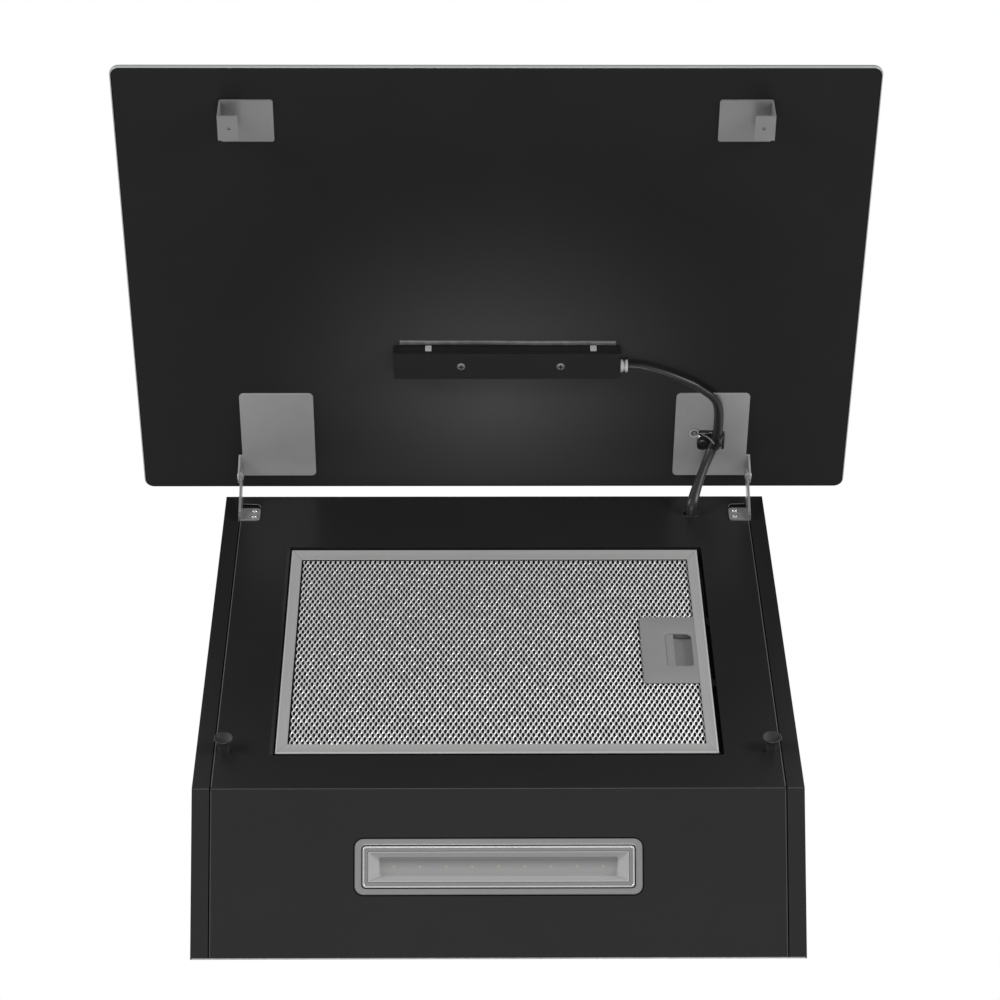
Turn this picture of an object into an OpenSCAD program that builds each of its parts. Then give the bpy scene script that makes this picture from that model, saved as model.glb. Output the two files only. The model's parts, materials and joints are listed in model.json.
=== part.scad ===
// Inclined wall range hood with a hinged glass front, shown open.
// X is the width, -Y is the front, +Z is up. The wall is the plane Y = 0.
// The origin is the centre of the four wall fixings, on the back face.

/* [Body] */
// Width over the side panels
body_w = 457; // [440:1:480]
// Depth of the lamp face, from the wall to the fold
lamp_depth = 126; // [120:1:140]
// Length of the filter face, from the fold to the top edge
face_len = 400; // [392:1:412]
// Slope of the filter face from the horizontal
face_slope = 50.5; // [49:0.5:52]
// Thickness of the body sheets
sheet = 1; // [0.8:0.1:1.2]
// Width of the side panels' front flanges
flange_w = 13; // [11:0.5:14]
// Depth of the folded returns behind the front
return_d = 10; // [7:1:12]
// Open seam between flange and front sheet
seam = 0.8; // [0.3:0.1:1]
// Length of the lips that join the panels
lip_l = 12; // [8:1:14]
// Height of the wall fixing centre above the lamp face
fixing_h = 200; // [190:1:210]
// Distance between wall fixings across
fixing_dx = 300; // [260:5:340]
// Distance between wall fixings up
fixing_dz = 160; // [140:5:180]
// Radius of each wall fixing hole
fixing_r = 4; // [3:0.5:5]

/* [Grease filter] */
// Width of the filter
filter_w = 337; // [320:1:345]
// Length of the filter up the slope
filter_l = 276; // [260:1:285]
// Distance from the fold to the filter
filter_s = 43.5; // [38:0.5:50]
// Depth of the filter frame
filter_t = 9; // [9:0.5:11]
// Width of the visible frame lip at the sides
frame_lip = 9; // [7:0.5:11]
// Width of the visible frame lip at the top and bottom
frame_lip_l = 13.5; // [8:0.5:16]
// Sheet thickness of the filter frame
frame_sheet = 0.8; // [0.6:0.1:1]
// Gap around the filter in its opening
filter_gap = 3; // [2:0.5:3.5]
// How far the filter lies below the front sheet
filter_drop = 1; // [0.5:0.1:1.5]
// Thickness of the front mesh
mesh_t = 1; // [0.8:0.1:1.2]
// Thickness of the inner mesh layers
core_t = 3.5; // [2:0.5:4]

/* [Filter handle and latch] */
// Width of the handle plate
handle_w = 43; // [42:1:50]
// Length of the handle plate up the slope
handle_l = 89; // [80:1:100]
// Distance from the filter's lower edge to the handle plate
handle_s = 90; // [80:1:95]
// Width of the finger window
window_w = 21; // [19:1:23]
// Length of the finger window
window_l = 44; // [40:1:50]
// Distance of the finger window from the plate's outer edge
window_edge = 4; // [4:0.5:6]
// Distance between the two latch tongues
tongue_pitch = 83; // [75:1:95]
// Width of each latch tongue
tongue_w = 9; // [7:0.5:10]
// Travel of the latch
latch_travel = 6; // [4:0.5:6]

/* [Lamp] */
// Width of the lamp bezel
lamp_w = 214; // [200:1:230]
// Height of the lamp bezel across the lamp face
lamp_l = 41.4; // [38:0.2:46]
// Distance from the wall to the lamp's centre
lamp_y = 68; // [60:1:76]
// Width of the bezel's flat rim
lamp_rim = 5.2; // [4:0.2:6]
// Number of light diodes
led_count = 9; // [5:1:11]
// Distance between light diodes
led_pitch = 19.5; // [14:0.5:20]

/* [Glass panel] */
// Width of the glass
glass_w = 600; // [560:1:640]
// Length of the glass from top to bottom edge
glass_l = 422; // [415:1:440]
// Thickness of the glass
glass_t = 4; // [3:0.5:6]
// Radius of the glass corners
glass_r = 8; // [5:1:14]
// Opening angle at which the glass rests
open_angle = 83; // [75:1:88]
// Distance of the glass edge above the pivot
edge_over = 25; // [20:1:28]

/* [Hinges and catches] */
// Distance of the pivot beyond the top edge, along the face
pivot_up = 3; // [0:0.5:6]
// Height of the pivot off the filter face
pivot_out = 19; // [17:0.5:22]
// Distance from the pivot to the glass
pivot_to_glass = 15.5; // [14:0.5:18]
// Radius of the hinge pins
pin_r = 2.5; // [2:0.25:3]
// Distance from the body's side to the outer face of each arm
arm_inset = 12.5; // [11:0.5:16]
// Thickness of the hinge arms
arm_t = 2; // [1.5:0.1:2.5]
// Thickness of plates and lugs on the glass
plate_t = 1.5; // [1.2:0.1:2]
// Width of each hinge plate
hinge_plate_w = 62; // [50:1:70]
// Length of each hinge plate
hinge_plate_l = 88.5; // [75:0.5:95]
// Distance from the body's side to each catch cup
cup_inset = 21; // [20.5:0.5:24]
// Distance from the fold to each catch cup
cup_s = 47.8; // [44:0.2:52]
// Radius of the catch cups
cup_r = 7.25; // [6.5:0.25:7.25]
// Height of the catch cups
cup_h = 11.4; // [10:0.2:13]
// Width of each catch bracket's plate
bracket_w = 42.2; // [36:0.2:48]
// Length of each catch bracket's plate
bracket_l = 38; // [34:1:44]

/* [Touch control] */
// Width of the control box
ctrl_w = 188; // [170:1:200]
// Length of the control box across the glass
ctrl_l = 26; // [24:1:32]
// Height of the control box off the glass
ctrl_h = 12; // [11:0.5:15]
// Sideways place of the control box centre
ctrl_x = 10; // [0:1:12]
// Distance from the pivot to the control box centre
ctrl_t = 114.5; // [108:0.5:125]
// Wall of the control box cover
ctrl_wall = 1.5; // [1:0.1:1.6]
// Diameter of the control lead
lead_d = 6.4; // [5:0.1:6.8]

/* [Blower] */
// Room between the scroll and the back panel
wall_room = 17.5; // [10:0.5:22]
// Room between the scroll and the filter's seat
seat_room = 3; // [2:0.5:6]
// Outer radius of the impeller
impeller_r = 75; // [68:1:78]
// Width of the impeller
impeller_w = 120; // [100:1:124]
// Number of impeller blades
blade_count = 32; // [24:1:40]
// Growth of the scroll from tongue to outlet
scroll_growth = 30; // [24:1:34]
// Width of the scroll between its side plates
scroll_w = 142; // [136:1:144]
// Radius of the motor
motor_r = 44; // [38:1:48]
// Outer radius of the outlet spigot
spigot_r = 74; // [70:1:76]
// Height of the outlet spigot
spigot_h = 45; // [40:1:60]
// Distance from the wall to the outlet's centre
outlet_y = 168; // [164:1:170]

/* [Hidden] */
$fn = 48;

// Clearances
slip = 0.3;
run_gap = 0.05;
cut = 1;

// Heights and places of the body
lamp_z = -fixing_h;
body_h = face_len * sin(face_slope);
ceiling = body_h - 2 * sheet;
arm_x = body_w / 2 - arm_inset;
cup_x = body_w / 2 - cup_inset;
front_half = body_w / 2 - flange_w - seam;
web_x = body_w / 2 - sheet;
screw_head_r = 3.2;
screw_head_h = 1.8;
screw_r = 1.6;
screw_l = 6;
screw_fit = 0.1;
cross_l = 4;
cross_w = 0.8;
button_h = 1.3;
button_r = 2.9;
button_top_r = 2.2;

// Filter levels, measured outwards from the filter face
open_w = filter_w + 2 * filter_gap;
open_l = filter_l + 2 * filter_gap;
filter_mid = filter_s + filter_l / 2;
lip_under = -filter_drop - frame_sheet;
mesh_under = lip_under - mesh_t;
frame_back = -filter_drop - filter_t;
seat_floor = frame_back - slip;
seat_flange = 8;
seat_ledge = 7;
cavity_half_w = filter_w / 2 - frame_sheet;
lip_half_w = filter_w / 2 - frame_lip;
handle_x1 = lip_half_w;
handle_x0 = handle_x1 - handle_w;
handle_s0 = filter_s + handle_s;
window_x1 = handle_x1 - window_edge;
window_x0 = window_x1 - window_w;
window_mid = handle_s0 + handle_l / 2 + slip;
tongue_h1 = mesh_under - slip;
tongue_t = 1.6;
tongue_h0 = tongue_h1 - tongue_t;
tongue_end = filter_w / 2 + filter_gap + sheet + 0.5;
tab_h0 = -filter_drop - filter_t / 2 - tongue_t / 2;
slider_floor = frame_back + frame_sheet + slip;
spring_len = 12;
spring_w = 5;
pocket_x0 = window_x0 - 8 - latch_travel - spring_len;
pocket_l = tongue_pitch + tongue_w + 4;

// Lamp levels, measured outwards from the lamp face
rim_h = 1.4;
rim_corner = 6.5;
ring_h = 2.6;
ring_corner = 2.5;
skirt_d = 12;
ring_t = 4;
ring_w = lamp_w - 2 * lamp_rim - 1.4;
ring_l = lamp_l - 2 * lamp_rim - 0.2;
lens_w = ring_w - 2 * ring_t;
lens_l = ring_l - 2 * ring_t;
spigot_wall = 1.2;
lens_face = 1.6;
lens_back = -7.5;
lens_floor = -6;
led_gap = 0.4;
led_s = 3;
led_h = 0.8;
board_t = 1.2;
housing_back = -16;
post_r = 2.5;

// Hinge and glass places
pivot_s = face_len + pivot_up;
pivot_y = -lamp_depth - pivot_s * cos(face_slope) - pivot_out * sin(face_slope);
pivot_z = lamp_z + pivot_s * sin(face_slope) - pivot_out * cos(face_slope);
glass_turn = -face_slope - open_angle;
inner = -pivot_to_glass;
foot_l = 18;
foot_w = 18;
foot_t = 1.5;
foot_s = pivot_s - 41;
arm_end_r = 6.5;
arm_band = 6;
slot_w = 15;
slot_l = 12;
arm_screw_x = arm_x - 13;
arm_screw_s = [foot_s + 5, foot_s + 13.5];
washer_t = 0.4;
lug_x0 = arm_x + washer_t;
lug_x1 = lug_x0 + plate_t;
plate_x1 = arm_x - 1.5;
plate_t0 = -11;
pin_head_r = 4.5;
pin_head_t = 2;
cup_t = pivot_s - cup_s;
flange_in = 16;
flange_len = 22;
flange_h = pivot_out + pivot_to_glass - cup_h - slip;
bracket_x1 = cup_x + 9;
stud_r = 2;
nut_t = 3;
core_r = 4;
cup_skin = 2.4;
magnet_t = 3.2;

// Touch control places
ctrl_x0 = ctrl_x - ctrl_w / 2;
ctrl_x1 = ctrl_x + ctrl_w / 2;
ctrl_t1 = ctrl_t + ctrl_l / 2;
ctrl_screw_dx = 82.4;
ctrl_screw_x = ctrl_x + 3;
gland_h = 6;
gland_t = ctrl_t - 4;
gland_r = 5.3;
gland_neck = 4;
strip_l = 4.4;
hook_dx = 136.5;
hook_w = 5.2;
clip_x = arm_x - 29;
clip_t = 28;
clip_h = 6.2;
clip_len = 13;
clip_r = lead_d / 2 + 2.8;

// Blower places: the axis stands off the back panel and the filter's seat by its scroll
scroll_t = 1.2;
tongue_r = impeller_r + 8;
tongue_a = 80;
scroll_turn = 260;
scroll_steps = 26;
function scroll_r(a) = tongue_r + (tongue_a - a) / scroll_turn * scroll_growth + scroll_t;
blower_y = sheet + wall_room + scroll_r(0);
blower_off = scroll_r(-90 - face_slope) + seat_room - seat_floor + sheet;
blower_h = (blower_off - (lamp_depth - blower_y) * sin(face_slope)) / cos(face_slope);
mouth = ceiling - blower_h;
mouth_mid = blower_y - outlet_y;
plate_x = scroll_w / 2;
inlet_r = impeller_r - 13;
inlet_l = 7;
flange_half = 50;
flange_out = 18;
flange_screw = 40;
blade_in = impeller_r - 12;
shaft_r = 4;
hub_r = 9;
hub_back = 8;
hub_front = 14;
end_ring_t = 2;
disc_t = 2.5;
bush_t = 3;
bush_r = 5;
bush_pcd_r = inlet_r + 9;
bracket_t = 2;
motor_x0 = -plate_x - scroll_t - bush_t;
motor_l = 60;
spigot_in = spigot_r - 2;
rod_r = 1.5;
rod_dy = 5;
knuckle_r = 3.2;
rod_h = 12;
rod_z = ceiling + sheet + rod_h;
spigot_flange = 11;
spigot_base = 2;
flap_t = 1.6;
flap_r = spigot_in - 1.5;
ledge_w = 3.5;

// The case that holds the control board
case_w = 84;
case_x0 = body_w / 2 - 22.5 - case_w;
case_y0 = -315;
case_l = 80;
case_d = 34;
case_wall = 2;
lid_rim = 3;
card_t = 1.6;
transformer = [22, 26, 16.4];
relay = [20, 14, 12.4];
lead_in_x = body_w / 2 - 63;
lead_in_z = 292;
hole_s = pivot_s - 30;
hole_half = 2;
hole_r = 5;

// Mains gland and capacitor
mains_x = 78.5 - body_w / 2;
mains_y = -60;
mains_r = 9;
mains_bore = 4;
cap_r = 17;
cap_l = 55;
cap_x = plate_x + 24;
cap_y = -52;
cap_z = ceiling - cap_r - 9;

// Route of the control lead on the glass: across, from the pivot, off the glass
lead_on_glass = [[100, 110.5, 6], [106, 110.5, 6], [112, 110.5, 6], [121, 110, 6.4], [131, 108, 7],
                 [144, 103.5, 7.6], [156, 98, 8], [166, 91.5, 8], [175, 83.5, 8], [182, 75, 7.8],
                 [186.5, 66, 7.5], [189.3, 57, 7], [190, 48, 6.6], [189.4, 40, 6.2], [188.2, 34, 6.2],
                 [187, 28, 6.2], [185.8, 22, 6.2], [184.6, 16, 6.3], [183.2, 10, 7.6], [181.4, 5.2, 11],
                 [179.4, 2.4, 16], [177, 1.2, 22], [174.2, 0.4, 28.5], [171.2, -1.4, 35],
                 [168.4, -4.6, 41], [166.6, -9.4, 45]];
// Route behind the front sheet: across, up the face from the fold, outwards
lead_in_body = [[165.5, 373, 2], [165.5, 373, -4], [165.5, 374.2, -10]];
lead_tail = [[165.5, -341, 294], [165.5, -331, 292.4], [165.5, -322, 292], [165.5, -312, 292]];
lead_sides = 10;

// Distance back from the wall plane of a line parallel to the filter face,
// d inside it, at height z above the lamp face
function front_y(d, z) = -lamp_depth + (d - z * cos(face_slope)) / sin(face_slope);

// Point on the opened glass in the hood's frame
function on_glass(p) =
    [p[0],
     pivot_y + p[1] * cos(glass_turn) - (p[2] + inner) * sin(glass_turn),
     pivot_z + p[1] * sin(glass_turn) + (p[2] + inner) * cos(glass_turn)];

// Point near the filter face in the hood's frame
function on_face(p) =
    [p[0],
     -lamp_depth - p[1] * cos(face_slope) - p[2] * sin(face_slope),
     lamp_z + p[1] * sin(face_slope) - p[2] * cos(face_slope)];

// Box from its limits along each axis
module slab(x, y, z) translate([x[0], y[0], z[0]]) cube([x[1] - x[0], y[1] - y[0], z[1] - z[0]]);

// Rectangle with round corners, centred
module round_rect(w, l, r) {
    square([w - 2 * r, l], center = true);
    square([w, l - 2 * r], center = true);
    for (sx = [-1, 1], sy = [-1, 1])
        translate([sx * (w / 2 - r), sy * (l / 2 - r)]) circle(r);
}

// Plate with round corners from limits
module round_plate(x, y, z, r)
    translate([(x[0] + x[1]) / 2, (y[0] + y[1]) / 2, z[0]])
        linear_extrude(z[1] - z[0]) round_rect(x[1] - x[0], y[1] - y[0], r);

// Cylinder along X
module rod(x, r) translate([x[0], 0, 0]) rotate([0, 90, 0]) cylinder(h = x[1] - x[0], r = r);

// Mirrors what it holds to the left side
module on_side(side) {
    if (side < 0) mirror([1, 0, 0]) children();
    else children();
}

// Side outline drawn as (Y, height) and extruded along X
module across(x0, w) translate([x0, 0, lamp_z]) rotate([90, 0, 90]) linear_extrude(w) children();

// Frames: y is the distance along the face, z points outwards
module lamp_face() translate([0, 0, lamp_z]) rotate([180, 0, 0]) children();
module filter_face()
    translate([0, -lamp_depth, lamp_z]) rotate([180 - face_slope, 0, 0]) children();
module glass_frame() translate([0, pivot_y, pivot_z]) rotate([glass_turn, 0, 0]) children();
module blower_frame()
    translate([0, -blower_y, lamp_z + blower_h]) rotate([90, 0, 90]) children();
module ceiling_frame() translate([0, 0, lamp_z + ceiling]) children();

// Bent strip that follows the lamp face and the filter face
module front_strip(d0, d1, back, top)
    polygon([[-back, d0], [front_y(d0, d0), d0], [front_y(d0, top), top],
             [front_y(d1, top), top], [front_y(d1, d1), d1], [-back, d1]]);

module side_panel() {
    across(web_x, sheet)
        polygon([[0, 0], [front_y(0, 0), 0], [front_y(0, body_h), body_h], [0, body_h]]);
    across(body_w / 2 - flange_w, flange_w) front_strip(0, sheet, sheet, body_h);
    across(body_w / 2 - flange_w, sheet) front_strip(0, return_d, sheet, ceiling);
}

module side_panel_left() color("#262626") on_side(-1) side_panel();
module side_panel_right() color("#262626") on_side(1) side_panel();

module front_sheet() color("#242424") difference() {
    union() {
        across(-front_half, 2 * front_half) front_strip(0, sheet, sheet, body_h);
        for (side = [-1, 1]) on_side(side)
            across(front_half - sheet, sheet) front_strip(0, return_d, sheet, ceiling);
        across(-front_half, 2 * front_half)
            polygon([[front_y(sheet / 2, body_h), body_h],
                     [front_y(sheet / 2, body_h - sheet), body_h - sheet],
                     [front_y(0, body_h) + lip_l, body_h - sheet],
                     [front_y(0, body_h) + lip_l, body_h]]);
    }
    filter_face() {
        translate([0, filter_mid, -sheet - cut])
            linear_extrude(sheet + 2 * cut) round_rect(open_w, open_l, 2);
        for (side = [-1, 1]) {
            translate([side * cup_x, cup_s, -sheet - cut])
                cylinder(h = sheet + 2 * cut, r = stud_r + slip);
            on_side(side)
                round_plate([arm_x - 2 - slot_w, arm_x - 2],
                            [foot_s + foot_l - 2, foot_s + foot_l - 2 + slot_l],
                            [-sheet - cut, cut], 3);
            for (s = arm_screw_s)
                translate([side * arm_screw_x, s, -sheet - cut])
                    cylinder(h = sheet + 2 * cut, r = screw_r + slip);
        }
        translate([lead_in_x, hole_s, -sheet - cut])
            linear_extrude(sheet + 2 * cut) lead_hole(hole_r);
    }
    lamp_face()
        translate([0, lamp_y, -sheet - cut])
            linear_extrude(sheet + 2 * cut) round_rect(ring_w - 1.8, ring_l - 1.8, 2);
}

// Long hole that the control lead passes through
module lead_hole(r) {
    square([2 * hole_half, 2 * r], center = true);
    for (side = [-1, 1]) translate([side * hole_half, 0]) circle(r);
}

module back_panel() color("#6e7072") difference() {
    union() {
        slab([-web_x, web_x], [-sheet, 0], [lamp_z, lamp_z + ceiling]);
        for (side = [-1, 1]) on_side(side)
            slab([web_x - sheet, web_x], [-sheet - lip_l, -sheet],
                 [lamp_z + 2 * return_d, lamp_z + ceiling - 2 * lip_l]);
    }
    for (sx = [-1, 1], sz = [-1, 1])
        translate([sx * fixing_dx / 2, cut, sz * fixing_dz / 2])
            rotate([90, 0, 0]) cylinder(h = sheet + 2 * cut, r = fixing_r);
    for (side = [-1, 1], z = panel_screw_z()) panel_screw_at(side, z) screw_hole();
}

// Hole that a sheet screw cuts through two sheets
module screw_hole() cylinder(h = 20, r = screw_r + screw_fit, center = true);

// Screws that join the side panels to the back and top panels
function panel_screw_z() = [0.2, 0.5, 0.8] * body_h;
function panel_screw_y() = [-lamp_depth, -1.6 * lamp_depth, -2.2 * lamp_depth];
module panel_screw_at(side, z) on_side(side)
    translate([body_w / 2, -sheet - lip_l / 2, lamp_z + z]) rotate([0, 90, 0]) children();
module top_screw_at(side, y) on_side(side)
    translate([body_w / 2, y, lamp_z + ceiling - lip_l / 2]) rotate([0, 90, 0]) children();

module panel_screws() color("silver") for (side = [-1, 1]) {
    for (z = panel_screw_z()) panel_screw_at(side, z) panel_screw();
    for (y = panel_screw_y()) top_screw_at(side, y) panel_screw();
}

module panel_screw() difference() {
    union() {
        cylinder(h = screw_head_h, r = screw_head_r);
        translate([0, 0, -screw_l]) cylinder(h = screw_l, r = screw_r);
    }
    for (a = [0, 90]) rotate(a)
        translate([-cross_l / 2, -cross_w / 2, screw_head_h / 2]) cube([cross_l, cross_w, screw_head_h]);
}

module top_panel() color("#6e7072") difference() {
    union() {
        slab([-web_x, web_x], [front_y(sheet, ceiling), -sheet],
             [lamp_z + ceiling, lamp_z + ceiling + sheet]);
        for (side = [-1, 1]) on_side(side)
            slab([web_x - sheet, web_x], [-2.5 * lamp_depth, -sheet - 1.5 * lip_l],
                 [lamp_z + ceiling - lip_l, lamp_z + ceiling + sheet]);
    }
    ceiling_frame() {
        translate([0, -outlet_y, -cut]) cylinder(h = 2 * cut + sheet, r = spigot_in, $fn = 96);
        translate([mains_x, mains_y, -cut]) cylinder(h = 2 * cut + sheet, r = mains_r - 2 + slip);
        for (p = blower_screw_at()) translate([p[0], p[1], 0]) screw_hole();
    }
    for (side = [-1, 1], y = panel_screw_y()) top_screw_at(side, y) screw_hole();
}

module side_panel_drilled(side) color("#262626") difference() {
    on_side(side) side_panel();
    for (z = panel_screw_z()) panel_screw_at(side, z) screw_hole();
    for (y = panel_screw_y()) top_screw_at(side, y) screw_hole();
}

// Folded seat behind the front sheet that the filter lies in
module filter_seat() color("#2a2a2a") filter_face() difference() {
    translate([0, filter_mid, 0]) union() {
        seat_ring(open_w + 2 * seat_flange, open_w, open_l + 2 * seat_flange, open_l, -2 * sheet, -sheet);
        seat_ring(open_w + 2 * sheet, open_w, open_l + 2 * sheet, open_l, seat_floor - sheet, -sheet);
        seat_ring(open_w + 2 * sheet, open_w - 2 * seat_ledge - 2 * filter_gap, open_l + 2 * sheet,
                  open_l - 2 * seat_ledge - 2 * filter_gap, seat_floor - sheet, seat_floor);
    }
    for (s = [-1, 1]) {
        slab([open_w / 2 - cut, open_w / 2 + 3], tongue_span(s, 0.6), [tongue_h0 - 0.6, tongue_h1 + 0.6]);
        slab([-open_w / 2 - 3, -open_w / 2 + cut], tongue_span(s, 0.6), [tab_h0 - 0.6, tab_h0 + tongue_t]);
    }
}

module seat_ring(w, w_in, l, l_in, h0, h1) translate([0, 0, h0]) difference() {
    translate([-w / 2, -l / 2, 0]) cube([w, l, h1 - h0]);
    translate([-w_in / 2, -l_in / 2, -cut]) cube([w_in, l_in, h1 - h0 + 2 * cut]);
}

// Span of a latch tongue up the face, with a clearance on each side
function tongue_span(s, gap) =
    [window_mid + s * tongue_pitch / 2 - tongue_w / 2 - gap,
     window_mid + s * tongue_pitch / 2 + tongue_w / 2 + gap];

module filter_frame() color("#a8a8a8") filter_face() {
    difference() {
        slab([-filter_w / 2, filter_w / 2], [filter_s, filter_s + filter_l], [frame_back, -filter_drop]);
        slab([-cavity_half_w, cavity_half_w], [filter_s + frame_sheet, filter_s + filter_l - frame_sheet],
             [frame_back + frame_sheet, lip_under]);
        slab([-lip_half_w, lip_half_w], [filter_s + frame_lip_l, filter_s + filter_l - frame_lip_l],
             [frame_back - cut, cut]);
        for (s = [-1, 1])
            slab([cavity_half_w - cut, filter_w / 2 + cut], tongue_span(s, slip),
                 [tongue_h0 - slip, tongue_h1 + slip]);
    }
    for (s = [-1, 1])
        slab([-tongue_end, -cavity_half_w], tongue_span(s, 0), [tab_h0, tab_h0 + tongue_t]);
}

module filter_mesh() color("#9c9c9c") filter_face() difference() {
    slab([-cavity_half_w + slip, cavity_half_w - slip],
         [filter_s + frame_sheet + slip, filter_s + filter_l - frame_sheet - slip], [mesh_under, lip_under]);
    slab([window_x0 - latch_travel - 2, window_x1 + 1.5],
         [window_mid - window_l / 2 - 3, window_mid + window_l / 2 + 3], [mesh_under - cut, cut]);
}

module filter_core() color("#8a8a8a") filter_face() difference() {
    slab([-cavity_half_w + slip, cavity_half_w - slip],
         [filter_s + frame_sheet + slip, filter_s + filter_l - frame_sheet - slip],
         [frame_back + frame_sheet, frame_back + frame_sheet + core_t]);
    slab([pocket_x0, filter_w / 2], [window_mid - pocket_l / 2, window_mid + pocket_l / 2], [frame_back, 0]);
}

module filter_handle() color("#8c8c8c") filter_face() difference() {
    round_plate([handle_x0, handle_x1], [handle_s0, handle_s0 + handle_l], [lip_under, -filter_drop], 1);
    round_plate([window_x0, window_x1], [window_mid - window_l / 2, window_mid + window_l / 2],
                [lip_under - cut, cut], 4);
}

// Slider with its finger pad, tray and two tongues
module latch_slider() color("#7d7d7d") filter_face() {
    tray = [window_mid - window_l / 2 - 2, window_mid + window_l / 2 + 2];
    pad_r = 4;
    slab([window_x0 - 2, window_x1 + 7], tray, [slider_floor, slider_floor + 0.8]);
    for (s = [0, 1])
        slab([window_x0 - 2, window_x1 + 7], [tray[s] - s, tray[s] + 1 - s],
             [slider_floor, tongue_h0 + tongue_t]);
    slab([window_x0, window_x0 + 2 * pad_r], tray, [slider_floor, lip_under - slip - pad_r]);
    translate([window_x0 + pad_r, tray[0], lip_under - slip - pad_r])
        rotate([-90, 0, 0]) cylinder(h = tray[1] - tray[0], r = pad_r);
    slab([window_x0 - 8, window_x0], [tongue_span(-1, 0)[0], tongue_span(1, 0)[1]],
         [tongue_h0, tongue_h1]);
    slab([window_x0 - 8, window_x0 - 6], [window_mid - 6, window_mid + 6], [slider_floor, tongue_h1]);
    for (s = [-1, 1]) slab([window_x0 - 8, tongue_end], tongue_span(s, 0), [tongue_h0, tongue_h1]);
}

// Leaf spring that pushes the slider outwards
module latch_spring() color("silver") filter_face()
    translate([window_x0 - 8 - 0.1, window_mid, slider_floor + 0.2])
        linear_extrude(spring_w - 1)
            difference() {
                translate([-spring_len - latch_travel + 0.4, 0]) spring_bow(0);
                translate([-spring_len - latch_travel + 0.4, 0]) spring_bow(0.6);
            }

// Half ellipse of the leaf spring, drawn from the pocket wall to the slider
module spring_bow(t) {
    reach = spring_len + latch_travel - 0.5;
    half = 22;
    polygon([for (i = [0:24]) let (a = -90 + i * 7.5)
             [reach * cos(a) - t * 1.6 - (abs(a) > 89 ? cut * (t > 0 ? 1 : 0) : 0), (half - t) * sin(a)]]);
}

module lamp_housing() color("#9a9a9a") lamp_face() translate([0, lamp_y, 0]) {
    w = ring_w + 3;
    l = ring_l + 3;
    difference() {
        round_plate([-w / 2, w / 2], [-l / 2, l / 2], [housing_back, -sheet], 2);
        round_plate([-w / 2 + sheet, w / 2 - sheet], [-l / 2 + sheet, l / 2 - sheet],
                    [housing_back + sheet, cut], 1);
    }
    for (x = [-1, 0, 1] * lens_w * 0.42)
        translate([x, 0, housing_back + sheet])
            cylinder(h = lens_back - led_gap - led_h - board_t - housing_back - sheet, r = post_r);
}

module lamp_bezel() color("#b4b4b4") lamp_face() translate([0, lamp_y, 0]) difference() {
    union() {
        round_plate([-lamp_w / 2, lamp_w / 2], [-lamp_l / 2, lamp_l / 2], [0, rim_h], rim_corner);
        round_plate([-ring_w / 2, ring_w / 2], [-ring_l / 2, ring_l / 2], [0, ring_h], ring_corner);
        round_plate([-ring_w / 2 + sheet, ring_w / 2 - sheet], [-ring_l / 2 + sheet, ring_l / 2 - sheet],
                    [-skirt_d, 0], ring_corner - sheet / 2);
    }
    slab([-lens_w / 2, lens_w / 2], [-lens_l / 2, lens_l / 2], [-skirt_d - cut, ring_h + cut]);
}

// Lens with a sunk floor and sloping sides
module lamp_lens() color("#c9c9c9") lamp_face() translate([0, lamp_y, 0]) difference() {
    slab([-lens_w / 2, lens_w / 2], [-lens_l / 2, lens_l / 2], [lens_back, lens_face]);
    hull() {
        slab([-lens_w / 2 + 9, lens_w / 2 - 9], [-lens_l / 2 + 4.5, lens_l / 2 - 4.5],
             [lens_floor, lens_floor + 0.1]);
        slab([-lens_w / 2 + 1.2, lens_w / 2 - 1.2], [-lens_l / 2 + 1.2, lens_l / 2 - 1.2],
             [lens_face, lens_face + 1]);
    }
}

module led_board() color("#e8e8e0") lamp_face()
    translate([0, lamp_y, lens_back - led_gap - led_h - board_t])
        slab([-lens_w / 2 + 2, lens_w / 2 - 2], [-lens_l / 2 + 3, lens_l / 2 - 3], [0, board_t]);

module light_diodes() color("#f0e6a0") lamp_face() translate([0, lamp_y, lens_back - led_gap - led_h])
    for (i = [0:led_count - 1])
        translate([(i - (led_count - 1) / 2) * led_pitch, 0, led_h / 2])
            cube([led_s, led_s, led_h], center = true);

// Catch cup with a dished top and a pocket for its magnet
module catch_cup() filter_face() translate([cup_x, cup_s, 0]) difference() {
    rotate_extrude()
        polygon([[0, 0], [cup_r - 0.6, 0], [cup_r - 0.6, 2], [cup_r, cup_h - 3.4], [cup_r, cup_h - 0.5],
                 [cup_r - 0.5, cup_h], [cup_r - 1.5, cup_h], [cup_r - 2.6, cup_h - 1.2], [0, cup_h - 1.4]]);
    translate([0, 0, -cut]) cylinder(h = cup_h - cup_skin + cut, r = core_r + 0.1);
}
module catch_cup_left() color("#161616") on_side(-1) catch_cup();
module catch_cup_right() color("#161616") catch_cup();

module catch_magnets() color("#55585a") for (side = [-1, 1]) on_side(side) filter_face()
    translate([cup_x, cup_s, cup_h - cup_skin - magnet_t]) cylinder(h = magnet_t, r = core_r);

module catch_studs() color("silver") for (side = [-1, 1]) on_side(side) filter_face()
    translate([cup_x, cup_s, 0]) {
        cylinder(h = cup_h - cup_skin - magnet_t, r = core_r);
        translate([0, 0, -sheet - nut_t]) cylinder(h = sheet + nut_t + 1, r = stud_r);
        translate([0, 0, -sheet - nut_t]) cylinder(h = nut_t, r = 2 * stud_r, $fn = 6);
    }

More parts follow.
